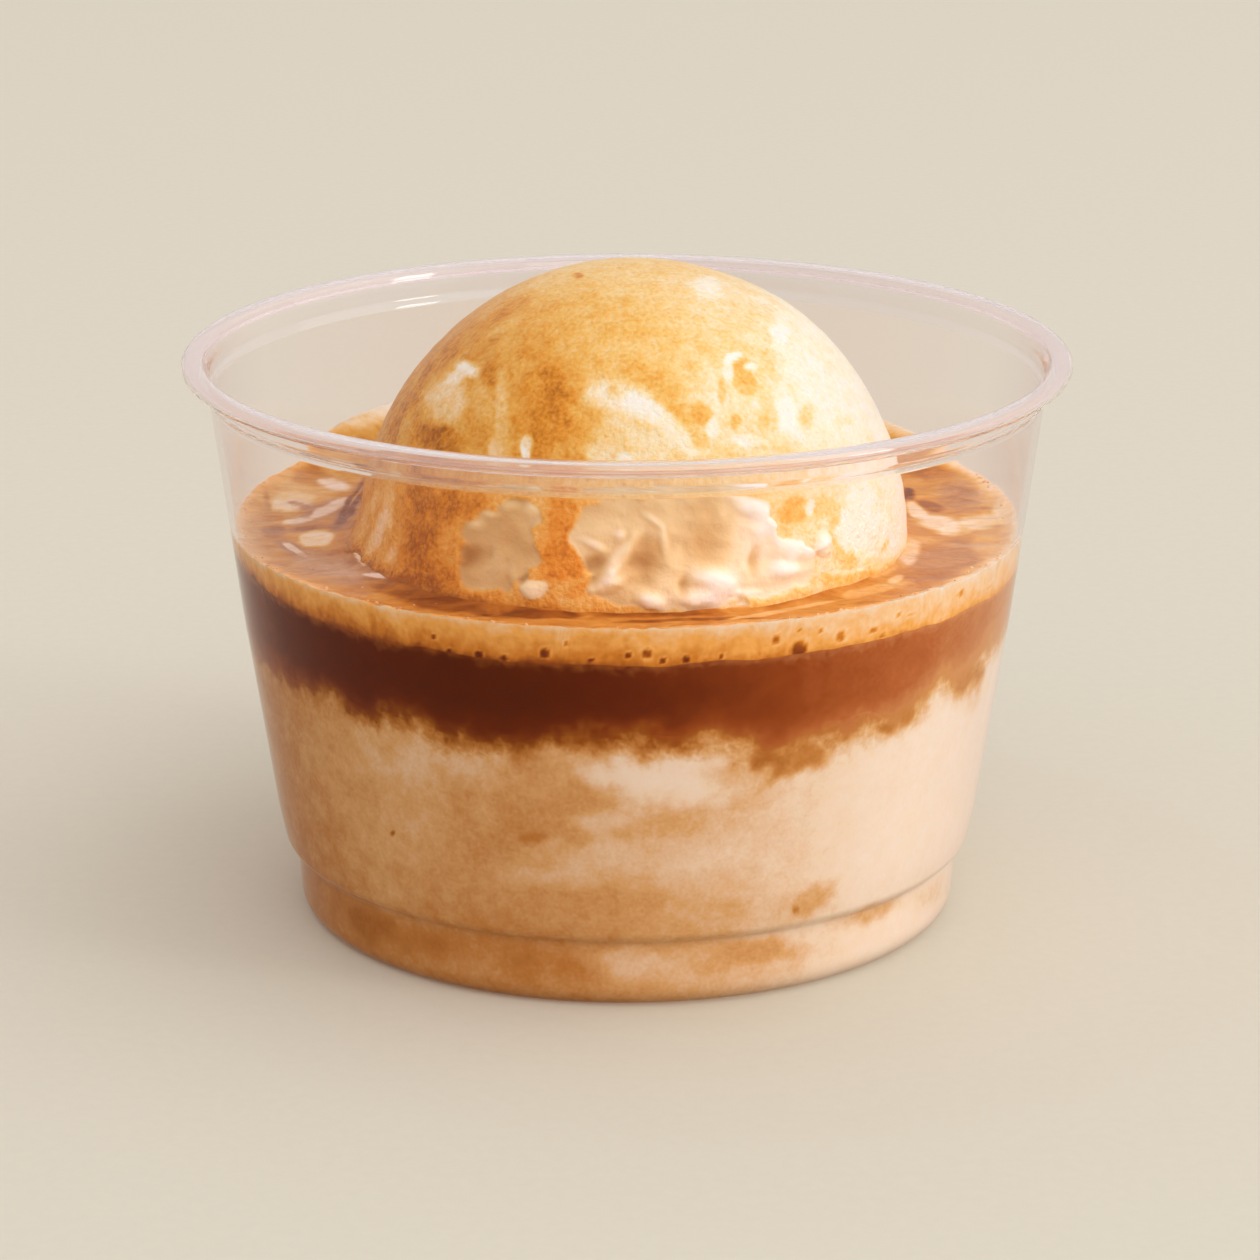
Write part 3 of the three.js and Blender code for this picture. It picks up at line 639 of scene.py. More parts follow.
def crema_foam():
    """Crema: coffee oils and milk swirled on the drink, wet and glossy, with fine bubbly foam."""
    material, tree = new_tree("wet_crema_foam")
    place = add_node(tree, "TexCoord", {})["Object"]
    tone, foamy, rosy, frothy = [add_node(tree, "Attribute", {}, attribute_name=name)["Fac"]
                                 for name in ("tone", "foamy", "rosy", "frothy")]
    flow = add_node(tree, "Mapping", {"Vector": place, "Scale": (1, 1.8, 1)})[0]
    swirl = add_node(tree, "TexNoise", {"Vector": flow, "Scale": 1 / (4 * MM), "Detail": 4,
                     "Distortion": 0.8}, normalize=False)["Fac"]
    fine = add_node(tree, "TexNoise", {"Vector": place, "Scale": 1 / (0.7 * MM), "Detail": 3},
                    normalize=False)["Fac"]
    # Cells of 0.6 mm: dark coffee shows in the middle of each bubble and foam along its edge.
    bubbles = add_node(tree, "TexVoronoi", {"Vector": place, "Scale": 1 / (0.6 * MM)})["Distance"]
    bubbles = add_node(tree, "Math", {0: bubbles, 1: 0.45}, operation="SUBTRACT")[0]
    bubbles = add_node(tree, "Math", {0: bubbles, 1: foamy}, operation="MULTIPLY")[0]
    for pattern, share in ((swirl, 0.12), (fine, 0.05), (bubbles, 0.14)):
        tone = add_node(tree, "Math", {0: pattern, 1: share, 2: tone}, operation="MULTIPLY_ADD")[0]
    golden = add_node(tree, "ValToRGB", {0: tone}, stops=[
        (0.0, "562206"), (0.2, "8A4712"), (0.4, "C27A28"), (0.6, "DCA24C"), (0.8, "E8C48A"),
        (1.0, "F4E2CC")])[0]
    froth = add_node(tree, "ValToRGB", {0: tone}, stops=[
        (0.0, "6A2C08"), (0.2, "9E5010"), (0.4, "DA8A2C"), (0.6, "F6B65C"), (0.8, "F8D6A6"),
        (1.0, "F8ECDC")])[0]
    pink = add_node(tree, "ValToRGB", {0: tone}, stops=[
        (0.0, "562810"), (0.3, "8E5234"), (0.55, "B88662"), (0.8, "DEBCA2"), (1.0, "F4E6DE")])[0]
    colour = add_node(tree, "Mix", {0: rosy, 6: golden, 7: pink}, data_type="RGBA")[2]
    colour = add_node(tree, "Mix", {0: frothy, 6: colour, 7: froth}, data_type="RGBA")[2]
    height = add_node(tree, "Math", {0: bubbles, 1: 0.4, 2: swirl}, operation="MULTIPLY_ADD")[0]
    normal = add_node(tree, "Bump", {"Height": height, "Distance": 0.1 * MM})[0]
    shader = add_node(tree, "BsdfPrincipled", {
        "Base Color": colour, "Roughness": 0.2, "IOR": 1.34, "Specular IOR Level": 0.1,
        "Coat Weight": 0.12, "Coat Roughness": 0.06, "Normal": normal})[0]
    add_node(tree, "OutputMaterial", {"Surface": shader})
    return material


def coffee_at_the_wall(name, softness):
    """Espresso clouding into milk against the plastic: no gloss, a ragged and stained edge."""
    material, tree = new_tree(name)
    place = add_node(tree, "TexCoord", {})["Object"]
    level, below_foam, lit, tone = [add_node(tree, "Attribute", {}, attribute_name=name)["Fac"]
                                    for name in ("level", "below_foam", "lit", "stain_and_shade")]
    # Clouds of 3 mm, curdled specks of 1 mm and grains of 0.4 mm.
    cloud = add_node(tree, "TexNoise", {"Vector": place, "Scale": 1 / (3 * MM), "Detail": 4},
                     normalize=False)["Fac"]
    curdle = add_node(tree, "TexNoise", {"Vector": place, "Scale": 1 / (1.1 * MM), "Detail": 4,
                      "Distortion": 0.6}, normalize=False)["Fac"]
    specks = add_node(tree, "TexNoise", {"Vector": place, "Scale": 1 / (0.4 * MM), "Detail": 2},
                      normalize=False)["Fac"]
    for pattern, share in ((cloud, 1.5), (curdle, 0.5), (specks, 0.3)):
        level = add_node(tree, "Math", {0: pattern, 1: share, 2: level}, operation="MULTIPLY_ADD")[0]
    dark = add_node(tree, "MapRange", {"Value": level, "From Min": -0.9, "From Max": 1.3},
                    interpolation_type="SMOOTHSTEP")[0]
    # The edge stays paler than the espresso where light comes through the drink.
    darkest = add_node(tree, "MapRange", {"Value": lit, "To Min": 0.86, "To Max": 0.44})[0]
    halo = add_node(tree, "MapRange", {"Value": level, "From Min": -4.6, "From Max": 0.2,
                    "To Min": 0.0, "To Max": darkest})[0]
    for pattern, share in ((cloud, 0.05), (curdle, 0.04), (specks, 0.03)):
        tone = add_node(tree, "Math", {0: pattern, 1: share, 2: tone}, operation="MULTIPLY_ADD")[0]
    tone = add_node(tree, "Math", {0: tone, 1: halo, 2: 0.15}, operation="SMOOTH_MAX")[0]
    # The milk's tone holds its stains and the painted shade on its left.
    milk = add_node(tree, "ValToRGB", {0: tone}, stops=[
        (0.0, "F6EADC"), (0.2, "F1DEC4"), (0.4, "E0B278"), (0.55, "CA8C48"), (0.75, "A8641E"),
        (1.0, "702E0C")])[0]
    shine = lit
    for pattern, share in ((specks, 0.05), (cloud, 0.06)):
        shine = add_node(tree, "Math", {0: pattern, 1: share, 2: shine}, operation="MULTIPLY_ADD")[0]
    # Light that comes through the milk warms the bottom of the espresso.
    warm = add_node(tree, "MapRange", {"Value": level, "From Min": 0.6, "From Max": 3.2,
                    "To Min": 0.24, "To Max": 0.0})[0]
    shine = add_node(tree, "Math", {0: shine, 1: warm}, operation="ADD")[0]
    espresso = add_node(tree, "ValToRGB", {0: shine}, stops=[
        (0.0, "5A2006"), (0.2, "6C2A0A"), (0.45, "964818"), (0.7, "B86834"), (1.0, "D4985E")])[0]
    # Fine foam hangs a little way into the espresso.
    hanging = add_node(tree, "Math", {0: curdle, 1: 0.8, 2: below_foam}, operation="MULTIPLY_ADD")[0]
    foam_share = add_node(tree, "MapRange", {"Value": hanging, "From Min": 0.9, "From Max": -0.3,
                          "To Min": 0.0, "To Max": 0.5})[0]
    foam = add_node(tree, "ValToRGB", {0: lit}, stops=[(0.0, "A85E1E"), (1.0, "E2A872")])[0]
    espresso = add_node(tree, "Mix", {0: foam_share, 6: espresso, 7: foam}, data_type="RGBA")[2]
    colour = add_node(tree, "Mix", {0: dark, 6: milk, 7: espresso}, data_type="RGBA")[2]
    shader = add_node(tree, "BsdfPrincipled", {
        "Base Color": colour, "Roughness": 0.6, "IOR": 1.34, "Specular IOR Level": 0.0,
        "Subsurface Weight": softness, "Subsurface Radius": (1.6, 0.9, 0.5), "Subsurface Scale": MM})[0]
    add_node(tree, "OutputMaterial", {"Surface": shader})
    return material


def coffee_bubble():
    """Thin bubbles of coffee: brown where they stand in the foam, with a bright wet glint."""
    material, tree = new_tree("thin_coffee_bubble")
    place = add_node(tree, "TexCoord", {})["Object"]
    patches = add_node(tree, "TexNoise", {"Vector": place, "Scale": 1 / (6 * MM), "Detail": 2})["Fac"]
    colour = add_node(tree, "ValToRGB", {0: patches}, stops=[(0.35, "D09048"), (0.65, "F6D29C")])[0]
    shader = add_node(tree, "BsdfPrincipled", {
        "Base Color": colour, "Roughness": 0.12, "IOR": 1.34, "Coat Weight": 0.4,
        "Coat Roughness": 0.05})[0]
    add_node(tree, "OutputMaterial", {"Surface": shader})
    return material


def studio_floor():
    """Matt painted studio board: an even warm beige with a barely visible tooth."""
    material, tree = new_tree("matt_painted_board")
    place = add_node(tree, "TexCoord", {})["Object"]
    tooth = add_node(tree, "TexNoise", {"Vector": place, "Scale": 1 / (1.5 * MM), "Detail": 2})["Fac"]
    colour = add_node(tree, "ValToRGB", {0: tooth}, stops=[(0.3, "DDDACC"), (0.7, "DBD8CA")])[0]
    normal = add_node(tree, "Bump", {"Height": tooth, "Distance": 0.02 * MM})[0]
    shader = add_node(tree, "BsdfPrincipled", {
        "Base Color": colour, "Roughness": 0.9, "Specular IOR Level": 0.2, "Normal": normal})[0]
    add_node(tree, "OutputMaterial", {"Surface": shader})
    return material


# Shapes ------------------------------------------------------------------------------------

def rounded_wire(bm, corners, closed=False):
    """A wire that faces the front, through (radius, height, rounding) corners."""
    verts = [bm.verts.new((0, -radius * MM, height * MM)) for radius, height, _ in corners]
    for pair in zip(verts, verts[1:] + verts[:closed]):
        bm.edges.new(pair)
    for vert, (_, _, rounding) in zip(verts, corners):
        if rounding:
            bmesh.ops.bevel(bm, geom=[vert], offset=rounding * MM, offset_type="OFFSET", segments=5,
                            profile=0.5, affect="VERTICES", material=-1)


def is_ring(edge):
    """Whether an edge runs round the cup, rather than along its outline."""
    start, end = (Vector(vert.co.xy).length for vert in edge.verts)
    level = abs(edge.verts[0].co.z - edge.verts[1].co.z)
    return start > 0.01 * MM and abs(start - end) + level < 0.001 * MM


def turned(bm, columns):
    """Spins the wire once round +Z in coarse steps, then splits the steps and rounds them out."""
    steps = columns // SPLITS
    bmesh.ops.spin(bm, geom=bm.verts[:] + bm.edges[:], cent=(0, 0, 0), axis=(0, 0, 1),
                   angle=2 * math.pi, steps=steps, use_merge=True)
    bmesh.ops.remove_doubles(bm, verts=bm.verts, dist=0.001 * MM)
    bmesh.ops.subdivide_edges(bm, edges=[edge for edge in bm.edges if is_ring(edge)],
                              cuts=SPLITS - 1, use_single_edge=True)
    half_step = math.pi / steps
    for vert in bm.verts:
        off = math.atan2(vert.co.x, -vert.co.y) % (2 * half_step) - half_step
        vert.co.xy *= math.cos(off) / math.cos(half_step)
    bmesh.ops.recalc_face_normals(bm, faces=bm.faces)


def inset(corners, distance):
    """An outline moved towards the inside by a distance, square to each stretch of it."""
    points = [Vector(corner[:2]) for corner in corners]
    squares = []
    for start, end in zip(points, points[1:]):
        along = (end - start).normalized()
        squares.append(Vector((-along.y, along.x)))
    moved = []
    for i, (point, corner) in enumerate(zip(points, corners)):
        before = squares[max(i - 1, 0)]
        after = squares[min(i, len(squares) - 1)]
        place = point + (before + after) * (distance / (1 + before.dot(after)))
        moved.append((place.x, place.y, corner[2]))
    return moved


wall_inside = inset(CUP_OUTLINE, WALL)[3:]
WALL_HEIGHTS = [height for _, height, _ in wall_inside]
WALL_RADII = [radius for radius, _, _ in wall_inside]
drink_side = inset(CUP_OUTLINE, WALL - BITE)
SIDE_HEIGHTS = [height for _, height, _ in drink_side[4:]]
SIDE_RADII = [radius for radius, _, _ in drink_side[4:]]


def drink_radius(height):
    """Radius of the drink's side at heights above the step."""
    return np.interp(height, SIDE_HEIGHTS, SIDE_RADII)


def polar(points):
    """Radius and azimuth of places, with the azimuths crowded to the front."""
    return np.hypot(points[:, 0], points[:, 1]), crowded(degrees_of(points[:, 0], points[:, 1]))


def upright(radius, azimuth, height):
    """Places from their radius, azimuth and height."""
    turn = np.radians(azimuth)
    return np.stack([radius * np.sin(turn), -radius * np.cos(turn), height], -1)


def cup():
    """The cup in one closed sheet, whose rim looks thicker than its wall."""
    bm = bmesh.new()
    centre_radius = RIM_RADIUS - BEAD_WIDTH / 2
    centre_height = CUP_HEIGHT - BEAD_DEPTH / 2
    inside, outside = [], []
    for i in range(BEAD_STEPS + 1):
        angle = math.radians(BEAD_START + (BEAD_END - BEAD_START) * i / BEAD_STEPS)
        for face, sheet in ((inside, BEAD_SHEET), (outside, 0)):
            face.append((centre_radius + (BEAD_WIDTH / 2 - sheet) * math.cos(angle),
                         centre_height + (BEAD_DEPTH / 2 - sheet) * math.sin(angle), 0))
    rounded_wire(bm, CUP_OUTLINE + inside + outside[::-1] + inset(CUP_OUTLINE, WALL)[::-1])
    turned(bm, CUP_COLUMNS)
    for face in bm.faces:
        face.material_index = face.calc_center_median().z > RIM_FROM * MM
    # The wall's faint pink tint, face on, is a painted rosy reflection of the surroundings.
    thin_wall = clear_pet("thin_wall", WALL_IOR, WALL_CLEARNESS, WALL_WAVE, "FFF3F0")
    piece = finished("clear_cup", bm, thin_wall, "cup")
    piece.data.materials.append(clear_pet("rim", RIM_IOR, RIM_CLEARNESS, RIM_WAVE, "F7F3F6"))
    return piece


def shelf_height(flat, azimuth):
    """Height where the espresso ends and the milk begins."""
    height = ESPRESSO_BOTTOM + waves(flat, SHELF_WAVES)
    for place, width, drop in TONGUES:
        height = height - drop * bell(turn_between(place, azimuth), width)
    return height


def foam_height(flat, azimuth):
    """Height where the foam ends and the espresso begins."""
    place, width, rise = THIN_FOAM
    thinner = rise * bell(turn_between(place, azimuth), width)
    return FOAM_BOTTOM + thinner + waves(flat, FOAM_WAVES)


def drink_body(name, corners, material, node):
    """A turned layer of the drink, with its side cut into level rows."""
    bm = bmesh.new()
    rounded_wire(bm, corners)
    for edge in bm.edges[:]:
        if abs(edge.verts[0].co.z - edge.verts[1].co.z) > 2 * MM:
            bmesh.ops.subdivide_edges(bm, edges=[edge], cuts=int(edge.calc_length() / (ROW * MM)))
    turned(bm, DRINK_COLUMNS)
    return finished(name, bm, material, node)


def paint_side(piece, azimuth, height, below_foam):
    """What the coffee and the milk show through the wall, with their painted light and shade."""
    set_attribute(piece, "level", height - round_table(azimuth, DARK_FROM_ROUND))
    set_attribute(piece, "below_foam", below_foam)
    set_attribute(piece, "lit", round_table(azimuth, LIT_ROUND))
    points = upright(np.full_like(azimuth, SIDE_RING), azimuth, height)
    # The milk's clouding by coffee, with painted shade on its left, and darker towards the foot.
    clouded_and_shaded = round_table(azimuth, CLOUDED_AND_SHADED_ROUND) + FOOT_DARKENING * smooth(-height, -14, -6)

    def offsets(stroke):
        return turn_between(stroke.across, azimuth), height - stroke.up

    stains = strokes(STAINS, on_wall, reach=WALL_SLANT_REACH)
    set_attribute(piece, "stain_and_shade", painted(clouded_and_shaded, stains, offsets, waves(points, SIDE_RAGGED)))


def milk_layer():
    """Milky coffee from the cup's floor up to the espresso."""
    top = ESPRESSO_BOTTOM
    corners = drink_side[:7] + [(drink_radius(top), top, 0), (drink_radius(top) - LAP, top + LAP, 0),
                                (0, top + LAP, 0)]
    material = coffee_at_the_wall("milk_clouded_with_coffee", 0.2)
    piece = drink_body("milk_layer_clouded", corners, material, "milk_layer")
    points = places_of(piece)
    radius, azimuth = polar(points)
    flat = upright(radius, azimuth, 0 * radius)
    shelf = shelf_height(flat, azimuth)
    height = points[:, 2] + (shelf - ESPRESSO_BOTTOM) * smooth(points[:, 2], MILK_STEADY, ESPRESSO_BOTTOM)
    change = drink_radius(height) / drink_radius(points[:, 2])
    radius = radius * np.where(points[:, 2] > ABOVE_STEP, change, 1)
    move_to(piece, upright(radius, azimuth, height))
    paint_side(piece, azimuth, height, np.full_like(height, CLEAR_OF_FOAM))
    return piece


def espresso_layer():
    """Espresso through the whole cup between the milk and the foam."""
    corners = [(0, ESPRESSO_BOTTOM, 0), (drink_radius(ESPRESSO_BOTTOM), ESPRESSO_BOTTOM, 0),
               (drink_radius(FOAM_BOTTOM), FOAM_BOTTOM, 0),
               (drink_radius(FOAM_BOTTOM) - LAP, FOAM_BOTTOM + LAP, 0), (0, FOAM_BOTTOM + LAP, 0)]
    material = coffee_at_the_wall("brewed_espresso", 0)
    piece = drink_body("espresso_layer_dark", corners, material, "espresso_layer")
    points = places_of(piece)
    radius, azimuth = polar(points)
    flat = upright(radius, azimuth, 0 * radius)
    share = (points[:, 2] - ESPRESSO_BOTTOM) / (FOAM_BOTTOM - ESPRESSO_BOTTOM)
    shelf = shelf_height(flat, azimuth)
    foam = foam_height(flat, azimuth)
    height = shelf + share * (foam - shelf)
    radius = radius * drink_radius(height) / drink_radius(points[:, 2])
    move_to(piece, upright(radius, azimuth, height))
    paint_side(piece, azimuth, height, foam - height)
    return piece


def scoop_edge(azimuth):
    """Distance from the cup's axis to the foot of the scoop, in each direction."""
    turn = np.radians(azimuth)
    along = SCOOP.x * np.sin(turn) - SCOOP.y * np.cos(turn)
    reach = SCOOP_RADIUS - UNDER_SCOOP
    return along + np.sqrt(along ** 2 - SCOOP.xy.length_squared + reach ** 2)


def bank_rise(azimuth, in_from_wall):
    """Height of the foam left on the back wall above the drink."""
    turn = azimuth % 360
    near_end = np.where(turn < BANK_PEAK, BANK_FROM, BANK_TO)
    share = np.clip((turn - near_end) / (BANK_PEAK - near_end), 0, 1)
    height = BANK_RISE * np.sin(share * math.pi / 2) ** BANK_FULLNESS
    inside = (turn > BANK_FROM) & (turn < BANK_TO)
    return inside * height * (1 - smooth(in_from_wall, 0, BANK_WIDTH))


def crema():
    """Foam that makes the drink's surface, cut round the scoop, with its bank on the back wall."""
    wall = drink_radius(SURFACE)
    low_wall = drink_radius(FOAM_BOTTOM)
    corners = [(FOAM_CORE, FOAM_BOTTOM, 0), (low_wall, FOAM_BOTTOM, 0), (wall, SURFACE, 0),
               (FOAM_CORE, SURFACE, 0)]
    bm = bmesh.new()
    rounded_wire(bm, corners, closed=True)
    bm.edges.ensure_lookup_table()
    side, top = bm.edges[1], bm.edges[2]
    bmesh.ops.subdivide_edges(bm, edges=[side], cuts=FOAM_SIDE_CUTS)
    bmesh.ops.subdivide_edges(bm, edges=[top], cuts=FOAM_TOP_CUTS)
    turned(bm, DRINK_COLUMNS)
    piece = finished("crema_surface", bm, crema_foam(), "crema")
    points = places_of(piece)
    radius, azimuth = polar(points)
    up = (points[:, 2] - FOAM_BOTTOM) / (SURFACE - FOAM_BOTTOM)
    edge = np.interp(points[:, 2], [FOAM_BOTTOM, SURFACE], [low_wall, wall])
    core = scoop_edge(azimuth)
    radius = core + (radius - FOAM_CORE) / (edge - FOAM_CORE) * (edge - core)
    in_from_wall = edge - radius
    on_side = in_from_wall < SIDE_WITHIN

    flat = upright(radius, azimuth, 0 * radius)
    calm = smooth(in_from_wall, 0, 3)
    ripples = 0.14 * uneven(flat, 9, 1.5) + 0.09 * uneven(flat * (1, 1.6, 1), 3.5, 6.6)
    bank = bank_rise(azimuth, in_from_wall)
    climb = WALL_MENISCUS_RISE * bell(in_from_wall, WALL_MENISCUS_WIDTH)
    surface = SURFACE + ripples * calm + climb + bank
    from_scoop = flat - np.array((SCOOP.x, SCOOP.y, 0))
    foot = SCOOP_RADIUS + melt_reach(degrees_of(from_scoop[:, 0], from_scoop[:, 1]))
    away = np.hypot(from_scoop[:, 0], from_scoop[:, 1]) - foot
    surface += MENISCUS_RISE * np.exp(-np.maximum(away + 1, 0) / MENISCUS_WIDTH)
    surface += 0.1 * bell(in_from_wall, 3) * uneven(flat, 1.1, 5.5)
    bottom = foam_height(flat, azimuth)
    height = bottom + up * (surface - bottom)
    radius = np.where(on_side, drink_radius(height), radius)
    move_to(piece, upright(radius, azimuth, height))

    streaks = waves(flat, STREAKS)

    def offsets(stroke):
        return flat[:, 0] - stroke.across, flat[:, 1] - stroke.up

    tone = painted(np.full(len(points), SURFACE_TONE), strokes(CREMA, on_drink), offsets, streaks)
    rosy = painted(np.zeros(len(points)), strokes(ROSY, on_drink), offsets, streaks)
    set_attribute(piece, "rosy", rosy * calm)
    # Painted light and shade: the ring and the foam's side are lighter towards the right, where the light
    # falls, and the side is darker low on the left.
    right = smooth(flat[:, 0], -15, 40)
    ring = bell(in_from_wall + 0.5 * uneven(flat, 2.5, 3.3), 1.5)
    tone = tone + (RING_TONE + 0.22 * right - tone) * ring
    speckle = 0.03 * uneven(upright(radius, azimuth, height), 1.1, 4.7)
    band = np.interp(up + speckle, *zip(*SIDE_TONES)) - 0.16 * (1 - right) * (1 - up)
    band += 0.2 * right + speckle
    for x, y, size in WALL_BUBBLES:
        place, level = (rounded(value, BUBBLE_STEP) for value in on_wall(x, y, BUBBLE_INSET))
        across = np.radians(turn_between(place, azimuth)) * radius
        near = np.hypot(across, height - level) / size
        band += 0.1 * bell(near - 1.35, 0.3) - 0.3 * (1 - smooth(near, 0.7, 1.1))
    tone = np.where(on_side, band, tone)
    set_attribute(piece, "tone", tone + (BANK_TONE - tone) * smooth(bank, 2.2, 3.8))
    set_attribute(piece, "frothy", np.where(on_side, 1, ring))
    set_attribute(piece, "foamy", np.where(on_side, 0.5 - 0.3 * up, 0.4 * ring))
    return piece


def foam_bubbles():
    """Small bubbles along the ring of foam at the wall and on the surface."""
    bm = bmesh.new()
    draw = np.random.default_rng(BUBBLE_SEED)
    spots = []
    wall = drink_radius(SURFACE)
    for _ in range(RING_BUBBLES):
        size = SMALLEST_BUBBLE + 0.22 * draw.random() ** 3
        azimuth = draw.uniform(-180, 180)
        in_from_wall = 0.3 + 1.6 * draw.random() ** 2
        if bank_rise(np.array(azimuth), in_from_wall) > 0.3:
            continue
        rise = WALL_MENISCUS_RISE * bell(in_from_wall, WALL_MENISCUS_WIDTH)
        rise += bank_rise(np.array(azimuth), in_from_wall)
        spots.append((wall - in_from_wall, azimuth, SURFACE + rise - 0.3 * size, size))
    for _ in range(SURFACE_BUBBLES):
        size = SMALLEST_BUBBLE + 0.3 * draw.random() ** 4
        azimuth = draw.uniform(-180, 180)
        core = scoop_edge(np.array(azimuth)) + 2
        radius = core + (wall - 3 - core) * draw.random() ** 0.5
        rise = bank_rise(np.array(azimuth), wall - radius)
        spots.append((radius, azimuth, SURFACE + rise - 0.4 * size, size))
    for radius, azimuth, height, size in spots:
        turn = math.radians(azimuth)
        made = bmesh.ops.create_icosphere(bm, subdivisions=1, radius=size * MM)["verts"]
        place = Vector((radius * math.sin(turn), -radius * math.cos(turn), height)) * MM
        bmesh.ops.translate(bm, verts=made, vec=place)
    return finished("foam_bubbles", bm, coffee_bubble())


def melt_reach(azimuth):
    """How far the scoop's foot reaches out where it melts, in each direction from its middle."""
    sides = sum(reach * bell(turn_between(side, azimuth), MELT_SPREAD) for side, reach in MELTED_SIDES)
    return MELTED_EVERYWHERE + sides


def torn_share(offsets, ragged):
    """How much of the torn depth each place has, and how deep it is sunk."""
    share = np.zeros_like(ragged)
    depth = np.zeros_like(ragged)
    for patch in strokes(TORN, on_scoop, TORN_STEP, scoop_offset):
        inside = inside_stroke(patch, offsets, ragged)
        torn = smooth(inside, 0, patch.soft)
        share = np.maximum(share, torn)
        depth = np.maximum(depth, TORN_DEPTH * torn * patch.amount)
    return share, depth


def ice_cream():
    """The scoop: a ball torn open in front, with a melted foot and coffee glaze."""
    bm = bmesh.new()
    bmesh.ops.create_uvsphere(bm, u_segments=SCOOP_COLUMNS, v_segments=SCOOP_ROWS, radius=MM)
    bmesh.ops.subdivide_edges(bm, edges=bm.edges, cuts=SPLITS - 1, use_grid_fill=True)
    piece = finished("ice_cream_scoop", bm, vanilla_ice_cream(), "ice_cream")
    unit = places_of(piece)
    unit = unit / np.linalg.norm(unit, axis=1)[:, None]
    azimuth = crowded(degrees_of(unit[:, 0], unit[:, 1]))
    elevation = np.degrees(np.arcsin(np.clip(unit[:, 2], -1, 1)))
    elevation = np.interp(elevation, ROW_SHARES, ROW_ELEVATIONS)
    level = np.radians(elevation)
    direction = upright(np.cos(level), azimuth, np.sin(level))
    points = direction * SCOOP_RADIUS

    scallops = 0.05 + 0.08 * uneven(points, 1.4, 6.1) - 0.14 * ridged(points, 2.6, 1.7)

    def offsets(stroke):
        return ball_offsets(direction, stroke.across, stroke.up)

    torn, depth = torn_share(offsets, scallops)
    shown = smooth(elevation, -8, 0)
    crown = 1 - smooth(elevation, 55, 82)
    relief = waves(points, DIMPLES) - depth
    relief += torn * (0.25 * uneven(points, 6, 3.3) + 0.1 * ridged(points, 3.4, 5.1)
                      + 0.09 * uneven(points, 1.4, 7.7))
    lumps = 0
    for ridge in strokes(RIDGES, on_scoop, SCOOP_STEP, scoop_offset):
        inside = inside_stroke(ridge, offsets, 1.5 * scallops)
        lumps += ridge.amount * smooth(inside, -ridge.soft, 1)
    relief += torn * lumps
    above = np.maximum(points[:, 2] + SCOOP.z - SURFACE, 0)
    melt = melt_reach(azimuth) * (1 + 0.25 * uneven(points * (1, 1, 0.2), 3, 8.8))
    radius = SCOOP_RADIUS - 0.05 + shown * crown * relief + melt * np.exp(-above / MELT_FALL)
    move_to(piece, direction * radius[:, None] + np.array(SCOOP))

    top = smooth(elevation, 45, 80)
    base = round_table(azimuth, GLAZE_AND_SHADE_ROUND)
    patches = strokes(GLAZE, on_scoop, SCOOP_STEP, scoop_offset)
    glaze = painted(base + (CROWN_GLAZE - base) * top, patches, offsets,
                    waves(points, GLAZE_RAGGED))
    # Torn stretches: coffee washed over them, with painted shade on the left, a painted highlight on the
    # lumps and painted shade in the hollows.
    wash_and_shade = round_table(azimuth, TORN_WASH_AND_SHADE) - 0.45 * lumps + 0.15 * uneven(points, 5, 1.9)
    foot = bell(above, FOOT_GLAZE_HEIGHT)
    glaze = glaze + (round_table(azimuth, FOOT_GLAZE_AND_SHADE) - glaze) * foot
    set_attribute(piece, "glaze", glaze + (wash_and_shade - glaze) * torn)
    set_attribute(piece, "torn", torn)
    soaked_and_shaded = round_table(azimuth, SOAKED_AND_SHADED_ROUND)
    set_attribute(piece, "soaked_and_shaded", soaked_and_shaded + (CROWN_SOAKED_AND_SHADED - soaked_and_shaded) * top)
    return piece


# Studio ------------------------------------------------------------------------------------

FLOOR_RADIUS_M = 6


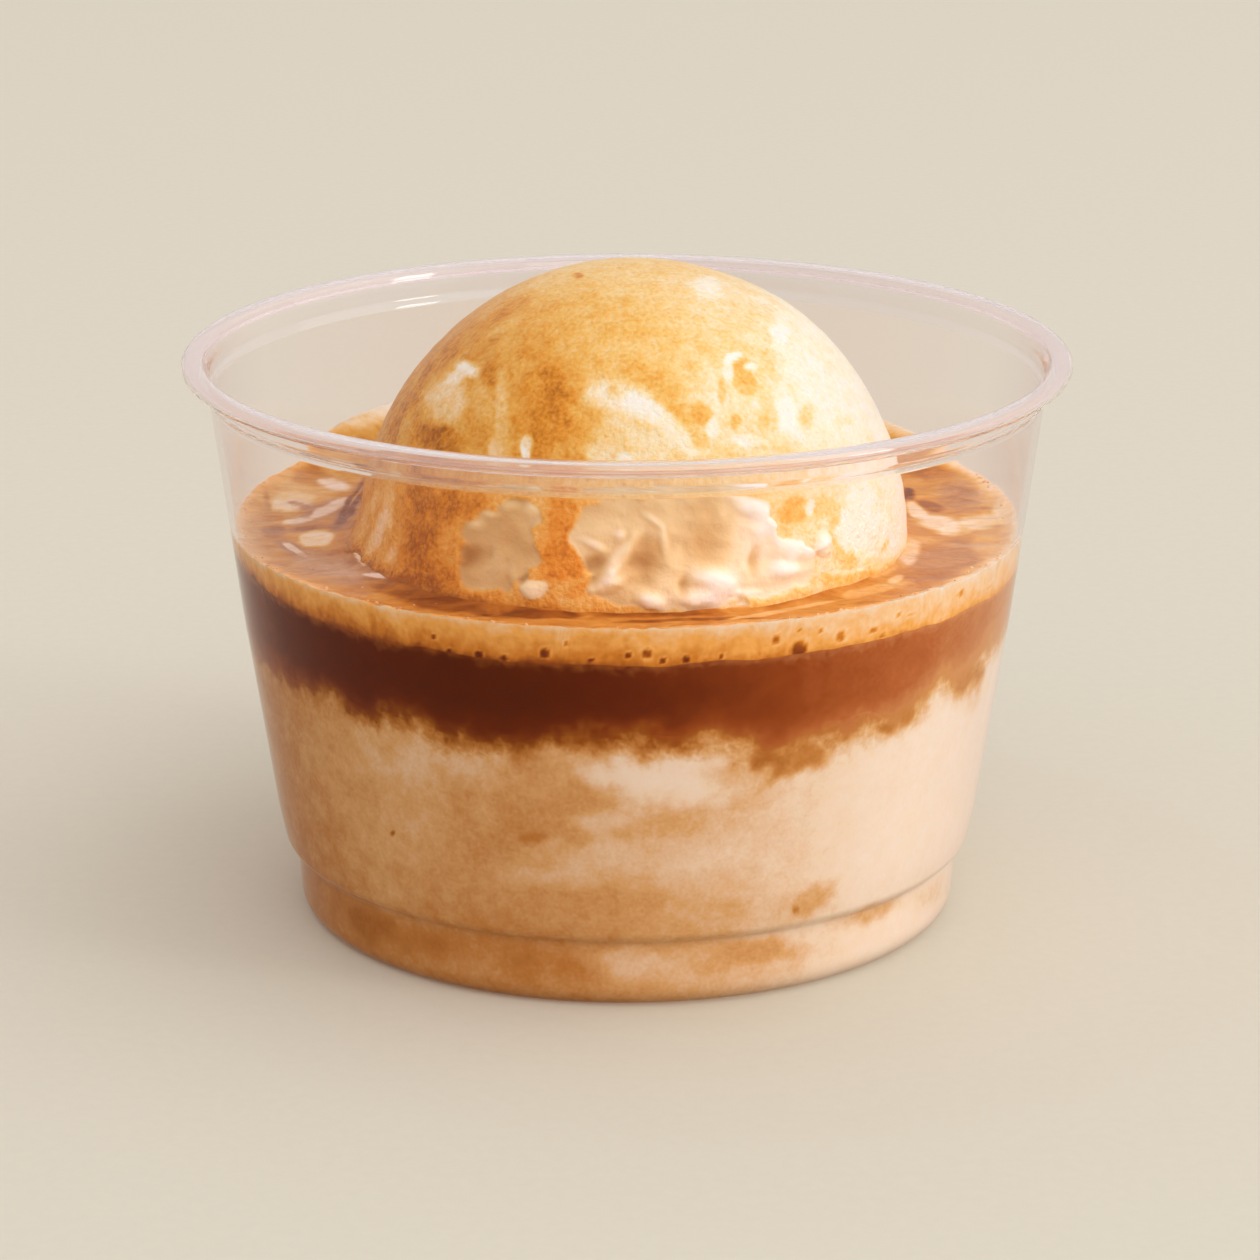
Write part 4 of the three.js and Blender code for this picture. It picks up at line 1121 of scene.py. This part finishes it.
def camera():
    """The camera that took the photo, with its picture shifted as the photo's is."""
    data = bpy.data.cameras.new("photo_view")
    data.lens = CAMERA_LENS
    data.sensor_width = SENSOR_WIDTH
    data.shift_x = FRAME_SHIFT / PHOTO_WIDTH
    data.clip_start = 0.01
    view = bpy.data.objects.new("photo_view", data)
    view.location = CAMERA_PLACE * MM
    view.rotation_euler = (math.pi / 2 - CAMERA_PITCH, 0, 0)
    bpy.context.scene.collection.objects.link(view)
    bpy.context.scene.camera = view


def softbox(name, place, size, watts, colour):
    """A soft square light, placed and sized in metres, that faces the middle of the drink."""
    data = bpy.data.lights.new(name, "AREA")
    data.shape = "SQUARE"
    data.size = size
    data.energy = watts
    data.color = linear(colour)[:3]
    lamp = bpy.data.objects.new(name, data)
    lamp.location = place
    aim = Vector((0, 0, SURFACE * MM)) - Vector(place)
    lamp.rotation_euler = aim.to_track_quat("-Z", "Y").to_euler()
    bpy.context.scene.collection.objects.link(lamp)


def studio():
    """Pale floor, soft lights and the pale air of the studio."""
    bm = bmesh.new()
    bmesh.ops.create_circle(bm, cap_ends=True, segments=96, radius=FLOOR_RADIUS_M)
    mesh = bpy.data.meshes.new("floor")
    bm.to_mesh(mesh)
    bm.free()
    mesh.materials.append(studio_floor())
    floor = bpy.data.objects.new("floor", mesh)
    bpy.context.scene.collection.objects.link(floor)

    softbox("key_softbox", (2.2, -0.5, 1.8), 3.6, 23, "FFFAF4")
    softbox("window_softbox", (2.0, -0.9, 1.0), 0.5, 6, "FFFFFF")
    softbox("front_softbox", (0.6, -2.4, 2.0), 1.6, 12, "FFFAF4")
    world = bpy.data.worlds.new("studio_air")
    world.use_nodes = True
    world.node_tree.nodes["Background"].inputs["Color"].default_value = linear("FCF4F0")
    world.node_tree.nodes["Background"].inputs["Strength"].default_value = 0.84
    bpy.context.scene.world = world
    bpy.context.scene.view_settings.view_transform = "Standard"


cup()
milk_layer()
espresso_layer()
crema()
foam_bubbles()
ice_cream()
studio()
camera()
